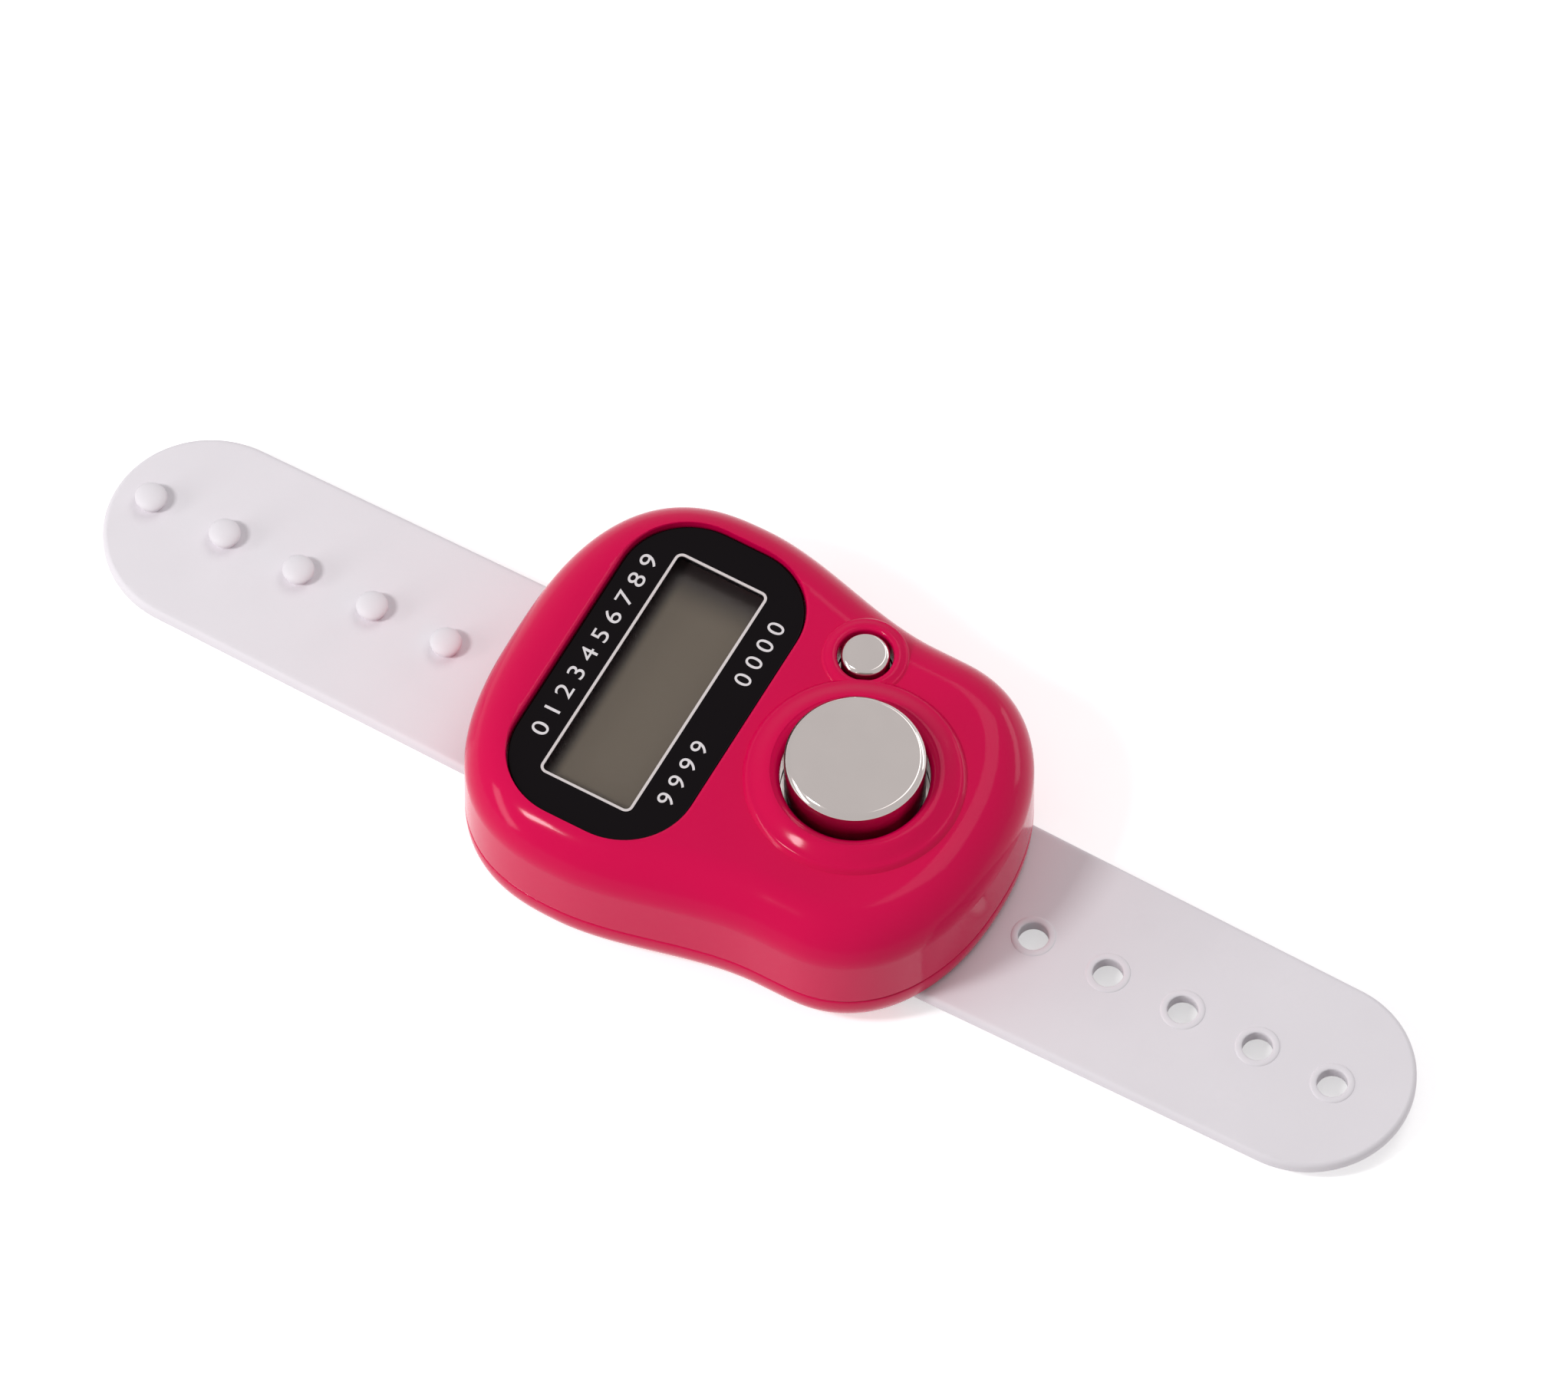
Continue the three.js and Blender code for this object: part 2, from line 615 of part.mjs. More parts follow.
function displayCarrier() {
  const right = glassRight + CARRIER_CLEARANCE;
  const left = glassLeft - CARRIER_CLEARANCE;
  const end = glassLength / 2 + CARRIER_CLEARANCE;
  const bottom = boardTop + FACE_GAP;
  const outside = block(
    left - CARRIER_WALL,
    right + CARRIER_WALL,
    -end - CARRIER_WALL,
    end + CARRIER_WALL,
    bottom,
    frontGlassTop,
  );
  const inside = block(left, right, -end, end, reflectorBottom - FACE_GAP, CASE_HEIGHT);
  const hole = block(
    left + CARRIER_WALL,
    right - CARRIER_WALL,
    -end + CARRIER_WALL,
    end - CARRIER_WALL,
    0,
    CASE_HEIGHT,
  );
  return outside.subtract(inside).subtract(hole).subtract(zebraRoom(left));
}

// The slot in the carrier's shelf that the connecting strip stands in.
function zebraRoom(left) {
  const halfLength = zebraLength / 2 + CARRIER_CLEARANCE;
  return block(left, left + CONTACT_LEDGE, -halfLength, halfLength, 0, CASE_HEIGHT);
}

function zebraStrip() {
  const left = glassLeft + (CONTACT_LEDGE - ZEBRA_WIDTH) / 2;
  const halfLength = zebraLength / 2;
  const bottom = boardTop + FACE_GAP;
  return block(left, left + ZEBRA_WIDTH, -halfLength, halfLength, bottom, frontGlassBottom - FACE_GAP);
}

function circuitBoard() {
  const inset = WALL + BOARD_CLEARANCE;
  let board = loft([
    [inset, boardBottom],
    [inset, boardTop],
  ]);
  for (const { x, y } of screwPlaces) {
    const radius = SCREW_RADIUS + 2 * SCREW_CLEARANCE;
    board = board.subtract(rod(x, y, radius, boardBottom - CUT_PAST, boardTop + CUT_PAST, SMALL_SEGMENTS));
  }
  return board;
}

function chipBlob() {
  const bottom = boardTop + FACE_GAP;
  const profile = [
    [0, bottom],
    [CHIP_RADIUS, bottom],
  ];
  for (let i = 0; i < FILLET_STEPS; i++) {
    const angle = (Math.PI / 2) * (i / FILLET_STEPS);
    const height = CHIP_EDGE + (CHIP_HEIGHT - CHIP_EDGE) * Math.sin(angle);
    profile.push([CHIP_RADIUS * Math.cos(angle), bottom + height]);
  }
  profile.push([0, bottom + CHIP_HEIGHT]);
  return turned(CHIP_X, CHIP_Y, profile, SMALL_SEGMENTS);
}

function crystal() {
  const radius = CRYSTAL_RADIUS;
  const geometry = new THREE.CylinderGeometry(radius, radius, CRYSTAL_LENGTH, SMALL_SEGMENTS);
  geometry.rotateZ(Math.PI / 2);
  geometry.translate(CRYSTAL_X, CRYSTAL_Y, boardBottom - FACE_GAP - radius);
  return solid(geometry);
}

// A small block soldered under the board.
function boardBlock(x, y, length, width, height) {
  const top = boardBottom - FACE_GAP;
  return block(x - length / 2, x + length / 2, y - width / 2, y + width / 2, top - height, top);
}

function coinCell() {
  const radius = CELL_DIAMETER / 2;
  return turned(CELL_X, 0, [
    [0, cellBottom],
    [radius - 2 * CELL_STEP, cellBottom],
    [radius - 2 * CELL_STEP, cellBottom + CELL_STEP],
    [radius, cellBottom + 2 * CELL_STEP],
    [radius, cellTop - CELL_STEP],
    [radius - CELL_STEP, cellTop],
    [0, cellTop],
  ]);
}

// The lower contact lies under the cell and climbs outside its wall to the board.
function negativeContact() {
  const outer = CELL_X - CELL_DIAMETER / 2 - CELL_CLEARANCE - CELL_WALL - CONTACT_THICKNESS;
  const bottom = channelFloor + CONTACT_GAP;
  const top = bottom + CONTACT_THICKNESS;
  const end = CELL_X + CELL_DIAMETER / 4;
  const outline = [
    [outer, bottom],
    [end, bottom],
    [end, top],
    [outer + CONTACT_THICKNESS, top],
    [outer + CONTACT_THICKNESS, boardBottom - FACE_GAP],
    [outer, boardBottom - FACE_GAP],
  ];
  return bentStrip(outline, CONTACT_WIDTH);
}

// The upper contact rests on the cell and steps up to the board.
function positiveContact() {
  const start = CELL_X - CELL_DIAMETER / 4;
  const step = CELL_X + CELL_DIAMETER / 2 + CELL_CLEARANCE;
  const bottom = cellTop + CONTACT_GAP;
  const lift = Math.max(boardBottom - FACE_GAP, bottom + CONTACT_THICKNESS);
  const outline = [
    [start, bottom],
    [step, bottom],
    [step, lift],
    [step - CONTACT_THICKNESS, lift],
    [step - CONTACT_THICKNESS, bottom + CONTACT_THICKNESS],
    [start, bottom + CONTACT_THICKNESS],
  ];
  return bentStrip(outline, CONTACT_WIDTH);
}

// Half the strap's width at a distance from its middle. It tapers, and then its tip is a half circle.
function strapHalfWidth(distance) {
  const tipRadius = STRAP_TIP_WIDTH / 2;
  const roundStart = STRAP_LENGTH / 2 - tipRadius;
  const past = distance - roundStart;
  if (past > 0) return Math.sqrt(Math.max(tipRadius ** 2 - past ** 2, 0));
  const t = THREE.MathUtils.clamp((distance - firstBendX) / (roundStart - firstBendX), 0, 1);
  return THREE.MathUtils.lerp(STRAP_WIDTH, STRAP_TIP_WIDTH, t) / 2;
}

// The outline of one stretch of a tail. side is 1 or -1 along X.
function strapOutline(side, start, end) {
  const tipRadius = STRAP_TIP_WIDTH / 2;
  const steps = 2 * FILLET_STEPS;
  const stations = [start];
  for (let i = 0; i < steps; i++) {
    const x = STRAP_LENGTH / 2 - tipRadius * (1 - Math.sin((Math.PI / 2) * (i / steps)));
    if (x > start + BEND_GAP && x < end - BEND_GAP / 2) stations.push(x);
  }
  stations.push(end);
  const upper = stations.map((x) => new THREE.Vector2(side * x, strapHalfWidth(x)));
  const lower = stations.map((x) => new THREE.Vector2(side * x, -strapHalfWidth(x))).reverse();
  if (end >= STRAP_LENGTH / 2) lower.shift();
  const outline = [...upper, ...lower];
  return new THREE.Shape(side > 0 ? outline.reverse() : outline);
}

// The places where a tail bends: at the bar, then midway between its holes or studs.
function bendPlaces(firstFastener) {
  const places = [firstBendX];
  for (let i = 0; i < FASTENERS; i++) places.push(firstFastener + (i - 0.5) * fastenerPitch);
  return places;
}

function stud(x) {
  const foot = strapTop - STRAP_THICKNESS / 2;
  const profile = [
    [0, foot],
    [STUD_NECK_RADIUS, foot],
    [STUD_NECK_RADIUS, strapTop + STUD_NECK_HEIGHT],
    ...STUD_HEAD.map(([out, up]) => [out * STUD_RADIUS, strapTop + up * STUD_HEIGHT]),
    [0, strapTop + STUD_HEIGHT],
  ];
  return turned(x, 0, profile, SMALL_SEGMENTS);
}

// One tail of the strap, as a chain of stretches with a hole or a stud in each but the first.
function strapTail(name, side, firstFastener, addFastener) {
  const places = bendPlaces(firstFastener);
  places.forEach((place, i) => {
    const start = place + BEND_GAP / 2;
    const end = i + 1 < places.length ? places[i + 1] - BEND_GAP / 2 : STRAP_LENGTH / 2;
    const flat = plate(strapOutline(side, start, end), strapBottom, strapTop);
    const x = side * (firstFastener + (i - 1) * fastenerPitch);
    piece(`${name}_${i + 1}`, i === 0 ? flat : addFastener(flat, x), SILICONE);
  });
}

function withHole(flat, x) {
  const hole = rod(x, 0, HOLE_RADIUS, strapBottom - CUT_PAST, strapTop + CUT_PAST, SMALL_SEGMENTS);
  return flat.subtract(hole);
}

function withStud(flat, x) {
  return flat.add(stud(x));
}

function strapMiddle() {
  const end = firstBendX - BEND_GAP / 2;
  return block(-end, end, -STRAP_WIDTH / 2, STRAP_WIDTH / 2, strapBottom, strapTop);
}

piece("front_shell", frontShell(), CASE_PINK);
piece("back_shell", backShell(), CASE_PINK);
piece("display_window", displayWindow(), PANEL_BLACK);
piece("window_tape", windowTape(), TAPE_WHITE);
piece("lcd_front_glass", glassSheet(GLASS_WIDTH, frontGlassBottom, frontGlassTop), GLASS_GREY);
piece("lcd_rear_glass", glassSheet(GLASS_WIDTH - CONTACT_LEDGE, rearGlassBottom, rearGlassTop), GLASS_GREY);
piece(
  "lcd_reflector",
  glassSheet(GLASS_WIDTH - CONTACT_LEDGE, reflectorBottom, reflectorTop),
  FILM_SILVER,
);
piece("lcd_carrier", displayCarrier(), CARRIER_WHITE);
piece("zebra_strip", zebraStrip(), ZEBRA_GREY);
piece("circuit_board", circuitBoard(), BOARD_GREEN);
piece("chip_blob", chipBlob(), EPOXY_BLACK);
piece("crystal", crystal(), TIN);
for (const [i, side] of [-1, 1].entries()) {
  const y = side * CAPACITOR_SPACING;
  const shape = boardBlock(CAPACITOR_X, y, CAPACITOR_SIZE, CAPACITOR_LENGTH, CAPACITOR_SIZE);
  piece(`capacitor_${i + 1}`, shape, CERAMIC_TAN);
}
piece("resistor", boardBlock(RESISTOR_X, 0, CAPACITOR_SIZE, CAPACITOR_LENGTH, RESISTOR_HEIGHT), EPOXY_BLACK);
piece(
  "count_button",
  button(COUNT_X, 0, COUNT_RADIUS, COUNT_TOP, COUNT_BEVEL, COUNT_PUSHER_RADIUS, COUNT_TRAVEL),
  CHROME,
);
piece(
  "reset_button",
  button(RESET_X, RESET_Y, RESET_RADIUS, RESET_TOP, RESET_BEVEL, RESET_PUSHER_RADIUS, RESET_TRAVEL),
  CHROME,
);
piece("count_dome", dome(COUNT_X, 0, COUNT_DOME_RADIUS, COUNT_DOME_TOP_RADIUS, COUNT_TRAVEL), DOME_RUBBER);
piece(
  "reset_dome",
  dome(RESET_X, RESET_Y, RESET_DOME_RADIUS, RESET_DOME_TOP_RADIUS, RESET_TRAVEL),
  DOME_RUBBER,
);
piece("coin_cell", coinCell(), STEEL);
piece("negative_contact", negativeContact(), STEEL);
piece("positive_contact", positiveContact(), STEEL);
screwPlaces.forEach(({ x, y }, i) => piece(`case_screw_${i + 1}`, caseScrew(x, y), STEEL));
piece("strap_middle", strapMiddle(), SILICONE);
strapTail("hole_tail", 1, FIRST_HOLE_X, withHole);
strapTail("stud_tail", -1, firstStudX, withStud);

export default counter;
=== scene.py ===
"""The looks of a digital finger tally counter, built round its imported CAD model."""

import json
import math

import bpy
from bpy.props import FloatProperty, FloatVectorProperty, PointerProperty
from mathutils import Matrix, Vector


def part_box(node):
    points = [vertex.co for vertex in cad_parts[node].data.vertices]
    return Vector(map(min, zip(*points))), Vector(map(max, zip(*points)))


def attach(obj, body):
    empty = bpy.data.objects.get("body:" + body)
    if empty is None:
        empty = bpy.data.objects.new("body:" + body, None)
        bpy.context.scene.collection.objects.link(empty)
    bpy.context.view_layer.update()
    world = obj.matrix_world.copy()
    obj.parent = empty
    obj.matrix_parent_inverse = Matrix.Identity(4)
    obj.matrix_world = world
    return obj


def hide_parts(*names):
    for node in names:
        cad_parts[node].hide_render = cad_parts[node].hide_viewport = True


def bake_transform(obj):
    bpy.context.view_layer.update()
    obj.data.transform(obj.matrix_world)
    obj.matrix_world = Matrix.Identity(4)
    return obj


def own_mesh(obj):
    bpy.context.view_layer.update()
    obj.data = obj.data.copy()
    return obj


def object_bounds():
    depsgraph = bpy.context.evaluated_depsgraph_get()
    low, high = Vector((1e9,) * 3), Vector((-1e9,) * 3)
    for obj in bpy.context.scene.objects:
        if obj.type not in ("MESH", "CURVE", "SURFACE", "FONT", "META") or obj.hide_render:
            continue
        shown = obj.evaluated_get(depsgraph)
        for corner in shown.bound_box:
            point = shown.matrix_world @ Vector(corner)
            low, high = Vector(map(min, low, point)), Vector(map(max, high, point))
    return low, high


bl_info = {
    "name": "Finger Tally Counter",
    "version": (1, 0, 0),
    "blender": (4, 5, 0),
    "location": "3D View > Sidebar > Counter",
    "description": "Builds the looks of a digital finger tally counter round its CAD model",
    "category": "Object",
}

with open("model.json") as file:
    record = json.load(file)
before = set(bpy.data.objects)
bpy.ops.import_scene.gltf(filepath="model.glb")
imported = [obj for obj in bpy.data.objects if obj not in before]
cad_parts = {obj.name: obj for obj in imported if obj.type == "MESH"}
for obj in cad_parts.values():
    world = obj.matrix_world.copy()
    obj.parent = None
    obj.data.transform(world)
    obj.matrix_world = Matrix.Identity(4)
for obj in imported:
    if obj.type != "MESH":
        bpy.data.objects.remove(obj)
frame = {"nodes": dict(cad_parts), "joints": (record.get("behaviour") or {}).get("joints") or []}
cad_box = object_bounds()

MM = 0.001
SMOOTH_ANGLE = math.radians(35)

# The photograph's frame, and what the camera looks at in it.
PHOTO_SIZE = (2044, 1796)
CAMERA_AZIMUTH = 29.35
CAMERA_ELEVATION = 60.75
CAMERA_TARGET = Vector((-1.81, 7.10, 5.72)) * MM
CAMERA_DISTANCE = 2.5
PHOTO_PIXELS_PER_METRE = 18500
SENSOR_WIDTH = 36.0

# How finely round shapes are cut.
OUTLINE_POINTS = 320
END_STEPS = 240
CURVE_STEPS = 20
EDGE_STEPS = 4
DOME_STEPS = 8
ROUND_SEGMENTS = 128
SMALL_SEGMENTS = 48
STRAP_STEP = 0.2 * MM

# Gaps and margins: between faces that would touch, and how far a cutter reaches past what it cuts.
FACE_GAP = 0.02 * MM
PARTING_GAP = 0.05 * MM
PAST = 1 * MM
FLAT_MARGIN = 0.3 * MM

# The front of the case: how deep the window lies, and the collars with the small step at their foot.
WINDOW_SINK = 0.6 * MM
COLLAR_ROOT = 1.5 * MM
COLLAR_STEP = 0.22
COLLAR_STEP_SHARE = 0.36
RESET_COLLAR_HEIGHT = 0.35 * MM

# The posts that hold the screws: how far they reach into a shell, and the holes in them.
POST_RADIUS = 1.35 * MM
POST_ROOT = 0.5 * MM
PILOT_RADIUS = 0.76 * MM
PILOT_SPARE = 0.06 * MM
HEAD_WELL_RADIUS = 1.42 * MM
HEAD_SEAT = 1.02 * MM
FOOT_RADIUS = 2.02 * MM
FOOT_COVER = 0.6 * MM
FOOT_INSET = 0.9 * MM

# Half the height of a stud's head, as a share of how far it rises over the neck.
HALF_HEAD_SHARE = 0.6

# A wave texture draws about this many bands per unit of its scale.
BANDS_PER_SCALE = 6.3

# The colour sockets of a Mix node: both inputs, and the output.
MIX_LOW, MIX_HIGH, MIX_OUT = 6, 7, 2

WHITE = (1, 1, 1, 1)


# ---- Sizes and colours


def linear(code):
    """An sRGB hex colour as linear red, green, blue and alpha."""
    channels = [int(code[i : i + 2], 16) / 255 for i in (0, 2, 4)]
    return tuple(c / 12.92 if c <= 0.04045 else ((c + 0.055) / 1.055) ** 2.4 for c in channels) + (1.0,)


def length(name, millimetres, description):
    """A property that holds a length."""
    default = millimetres * MM
    settings = {"subtype": "DISTANCE", "unit": "LENGTH", "precision": 5}
    return FloatProperty(name=name, description=description, default=default, **settings)


def number(name, default, description, unit="NONE"):
    """A property that holds a plain number, or a lamp's power."""
    return FloatProperty(name=name, description=description, default=default, unit=unit)


def colour(name, code, description):
    """A property that holds a colour."""
    settings = {"size": 4, "subtype": "COLOR", "min": 0, "max": 1}
    return FloatVectorProperty(name=name, description=description, default=linear(code), **settings)


class CounterCaseSizes(bpy.types.PropertyGroup):
    narrow_end_width: length("Narrow end width", 26.3, "Width of the end round the count button")
    narrow_end_x: length("Narrow end x", 9.6, "Where the round of the narrow end starts")
    wide_end_x: length("Wide end x", -7.6, "Where the round of the wide end starts")
    waist_end_x: length("Waist end x", 7.2, "Where the case stops narrowing")
    narrow_end_power: number("Narrow end power", 2.2, "How square the narrow end is, from 2 for a round one")
    wide_end_power: number("Wide end power", 2.6, "How square the wide end is, from 2 for a round one")
    shoulder_round: length("Shoulder round", 3.6, "Radius between the sides and the top")
    underside_round: length("Underside round", 3.8, "Radius between the sides and the underside")
    wall: length("Wall", 1.4, "Thickness of both shells")
    floor: length("Floor", 1.2, "Thickness of the underside")
    top: length("Top", 1.9, "Thickness of the top")
    cavity_round: length("Cavity round", 1.0, "Radius inside the top")
    parting_edge: length("Parting edge", 0.14, "Round on both edges of the parting line")
    recess_edge: length("Recess edge", 0.28, "Round on the edge of the window's recess")
    collar_radius: length("Collar radius", 7.9, "Radius of the foot of the collar round the count button")
    collar_rim: length("Collar rim", 6.0, "Radius where that collar is highest")
    collar_roll: length("Collar roll", 0.85, "Round from the rim down into the well")
    reset_collar_radius: length(
        "Reset collar radius", 3.1, "Radius of the foot of the collar round the reset button"
    )
    reset_collar_rim: length("Reset collar rim", 2.35, "Radius where that collar is highest")
    count_well: length("Count well", 5.3, "Radius of the well round the count button")
    reset_well: length("Reset well", 2.0, "Radius of the well round the reset button")


class CounterWindowSizes(bpy.types.PropertyGroup):
    corner: length("Corner", 5.3, "Corner radius of the window")
    clearance: length("Clearance", 0.1, "Gap between the window and its recess")
    edge: length("Edge", 0.12, "Bevel on the window's edge")
    view_x: length("View x", -8.3, "Middle of the clear view along the case")
    view_width: length("View width", 7.2, "Width of the clear view")
    view_length: length("View length", 20.0, "Length of the clear view")
    view_corner: length("View corner", 0.5, "Corner radius of the view")
    frame_width: length("Frame width", 0.2, "Width of the silver line round the view")
    print_thickness: length("Print thickness", 0.012, "How far the print stands on the window")
    numeral_height: length("Numeral height", 1.25, "Height of the numerals")


class CounterButtonSizes(bpy.types.PropertyGroup):
    count_bevel: length("Count bevel", 0.32, "Bevel on the edge of the count button")
    reset_bevel: length("Reset bevel", 0.24, "Bevel on the edge of the reset button")
    flange: length("Flange", 0.8, "How far the hidden flange stands out")
    count_pusher: length("Count pusher", 2.5, "Radius of the pusher under the count button")
    reset_pusher: length("Reset pusher", 0.87, "Radius of the pusher under the reset button")


class CounterStrapSizes(bpy.types.PropertyGroup):
    tip_radius: length("Tip radius", 7.6, "Radius of both rounded tips")
    edge: length("Edge", 0.36, "Round along the edges of the strap")
    bend_reach: length("Bend reach", 1.2, "How far from each hinge the strap bends")
    first_bend_reach: length("First bend reach", 3.2, "How far past the case the first bend goes")
    first_bend_start: length("First bend start", 0.5, "How far before the first hinge the bend starts")
    hole_radius: length("Hole radius", 1.1, "Radius of the holes")
    hole_edge: length("Hole edge", 0.18, "Round on the edge of the holes")
    rim_width: length("Rim width", 0.5, "Width of the raised rim round a hole")
    rim_height: length("Rim height", 0.09, "Height of that rim")
    stud_radius: length("Stud radius", 1.15, "Radius of the head of a stud")
    stud_neck: length("Stud neck", 0.85, "Radius of the neck of a stud")
    stud_neck_height: length("Stud neck height", 0.5, "Height of the neck")


class CounterScrewSizes(bpy.types.PropertyGroup):
    head_radius: length("Head radius", 1.3, "Radius of a screw head")
    head_height: length("Head height", 1.0, "Height of a screw head")
    head_bevel: length("Head bevel", 0.35, "Bevel on the edge of a screw head")
    shank_radius: length("Shank radius", 0.7, "Radius of the shank")
    slot_width: length("Slot width", 0.34, "Width of each arm of the cross recess")
    slot_length: length("Slot length", 1.7, "Length of each arm of the cross recess")
    slot_depth: length("Slot depth", 0.5, "Depth of the cross recess")


class CounterStage(bpy.types.PropertyGroup):
    world_strength: number("World strength", 0.4, "Strength of the light from all round")
    key_power: number("Key power", 1.0, "Power of the lamp at the left", "POWER")
    right_power: number("Right power", 0.65, "Power of the lamp over the right end", "POWER")
    strip_power: number("Strip power", 0.5, "Power of the low strip at the far left", "POWER")
    rim_power: number(
        "Rim power", 0.25, "Power of the low strip at the far right, which the button edges show", "POWER"
    )
    floor_glow: number("Floor glow", 0.5, "How far the floor shows whiter than its light makes it")


class CounterColours(bpy.types.PropertyGroup):
    case: colour("Case", "D4004C", "Gloss plastic of both shells")
    case_deep: colour("Case deep", "CC0047", "Where its pigment lies a little denser")
    window: colour("Window", "0E090C", "Black print behind the window")
    silver: colour("Silver", "BEB6B6", "Foil line round the view")
    numerals: colour("Numerals", "DDD7DA", "White print on the window")
    display: colour("Display", "72675B", "Resting display glass")
    chrome: colour("Chrome", "B9B1AE", "Plating of the buttons")
    strap: colour("Strap", "E8E3E8", "Frosted silicone")
    floor: colour("Floor", "F6F4F5", "Floor and backdrop")


# ---- Meshes


def skin(rings):
    """Points and faces of a closed shape through rings of points. A ring of one point is a pole."""
    points, faces, starts = [], [], []
    for ring in rings:
        starts.append(len(points))
        points.extend(ring)
    for i in range(len(rings) - 1):
        low, high = starts[i], starts[i + 1]
        count = max(len(rings[i]), len(rings[i + 1]))
        for k in range(count):
            j = (k + 1) % count
            if len(rings[i]) == 1:
                faces.append((low, high + j, high + k))
            elif len(rings[i + 1]) == 1:
                faces.append((low + k, low + j, high))
            else:
                faces.append((low + k, low + j, high + j, high + k))
    if len(rings[0]) > 1:
        faces.append(tuple(reversed(range(len(rings[0])))))
    if len(rings[-1]) > 1:
        faces.append(tuple(range(starts[-1], len(points))))
    return points, faces


def together(*shapes):
    """Several shapes that don't touch, as one."""
    points, faces = [], []
    for more_points, more_faces in shapes:
        first = len(points)
        points.extend(more_points)
        faces.extend(tuple(first + i for i in face) for face in more_faces)
    return points, faces


def loft(outline, rings):
    """A shape whose sides follow an outline of x, y and the way out, through rings of inset and height."""
    return skin([[(x - inset * ox, y - inset * oy, z) for x, y, ox, oy in outline] for inset, z in rings])


def circle(x, y, radius, segments):
    """A round outline for loft."""
    angles = [2 * math.pi * i / segments for i in range(segments)]
    return [(x + radius * math.cos(a), y + radius * math.sin(a), math.cos(a), math.sin(a)) for a in angles]


def rounded_rectangle(x, width, length_y, corner):
    """A rounded rectangle round x on the middle line, as an outline for loft."""
    outline = []
    for quarter, (sx, sy) in enumerate([(1, -1), (1, 1), (-1, 1), (-1, -1)]):
        cx = x + sx * (width / 2 - corner)
        cy = sy * (length_y / 2 - corner)
        for i in range(CURVE_STEPS + 1):
            a = math.pi / 2 * (quarter - 1 + i / CURVE_STEPS)
            outline.append((cx + corner * math.cos(a), cy + corner * math.sin(a), math.cos(a), math.sin(a)))
    return outline


def turned(x, y, profile, segments=ROUND_SEGMENTS):
    """A turned shape standing at x, y. Its profile lists radius and height from the bottom up."""
    rings = []
    for radius, z in profile:
        ring = [(px, py, z) for px, py, _, _ in circle(x, y, radius, segments)]
        rings.append(ring if radius else [(x, y, z)])
    return skin(rings)


def rod(x, y, radius, low, high, segments=ROUND_SEGMENTS):
    """An upright round rod."""
    return turned(x, y, [(radius, low), (radius, high)], segments)


def block(low, high):
    """A box between two corners."""
    (x0, y0, z0), (x1, y1, z1) = low, high
    corners = [(x0, y0), (x1, y0), (x1, y1), (x0, y1)]
    return skin([[(x, y, z) for x, y in corners] for z in (z0, z1)])


def quarter_turn(steps):
    """The sine and cosine at equal steps from 0 to a right angle."""
    angles = [math.pi / 2 * i / steps for i in range(steps + 1)]
    return [(math.sin(a), math.cos(a)) for a in angles]


def quarter_round(inset, z, radius, steps, rising=True):
    """Rings of a rounded edge: up to a flat top, or from a flat underside up to the side."""
    turn, side = (quarter_turn(steps), -1) if rising else (reversed(quarter_turn(steps)), 1)
    return [(inset + radius * (1 - cos), z + side * radius * (1 - sin)) for sin, cos in turn]


def rounded_corners():
    """Each corner of an upright section: its two signs, and the ways out along its round."""
    for across, up, start in ((1, -1, -90), (1, 1, 0), (-1, 1, 90), (-1, -1, 180)):
        angles = [math.radians(start + 90 * i / EDGE_STEPS) for i in range(EDGE_STEPS + 1)]
        yield across, up, [(math.cos(a), math.sin(a)) for a in angles]


def link_object(name, data):
    """A new object in the scene that holds a mesh, a curve, a lamp or a camera."""
    obj = bpy.data.objects.new(name, data)
    bpy.context.scene.collection.objects.link(obj)
    return obj


def add_object(name, shape):
    """A new object that holds a shape."""
    mesh = bpy.data.meshes.new(name)
    mesh.from_pydata([tuple(p) for p in shape[0]], [], shape[1])
    mesh.update()
    return link_object(name, mesh)


def apply_modifiers(obj):
    """Turns an object's modifiers into plain mesh."""
    bpy.context.view_layer.update()
    depsgraph = bpy.context.evaluated_depsgraph_get()
    mesh = bpy.data.meshes.new_from_object(
        obj.evaluated_get(depsgraph), preserve_all_data_layers=True, depsgraph=depsgraph
    )
    obj.modifiers.clear()
    obj.data = mesh
    mesh.name = obj.name
    return obj


def combine(obj, operation, *shapes):
    """Combines an object with a second one, or with shapes that don't touch each other."""
    ready = isinstance(shapes[0], bpy.types.Object)
    other = shapes[0] if ready else add_object("tool", together(*shapes))
    modifier = obj.modifiers.new("combine", "BOOLEAN")
    modifier.operation = operation
    modifier.solver = "MANIFOLD"
    modifier.object = other
    apply_modifiers(obj)
    bpy.data.objects.remove(other)


def join(obj, *shapes):
    """Adds to an object."""
    combine(obj, "UNION", *shapes)


def cut(obj, *shapes):
    """Takes away from an object."""
    combine(obj, "DIFFERENCE", *shapes)


def shade(obj, even=True):
    """Smooth faces with sharp edges where they turn far. even keeps large flat faces flat."""
    obj.data.shade_smooth()
    obj.data.set_sharp_from_angle(angle=SMOOTH_ANGLE)
    if even:
        obj.modifiers.new("even", "WEIGHTED_NORMAL").keep_sharp = True
        apply_modifiers(obj)
    return obj


def finish_piece(obj, material, body, slot, *nodes):
    """Gives a piece its material, the body it rides on and the CAD nodes that it stands for."""
    obj.data.materials.clear()
    obj.data.materials.append(bpy.data.materials[material])
    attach(obj, body)
    if nodes:
        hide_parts(*nodes)


# ---- Node trees


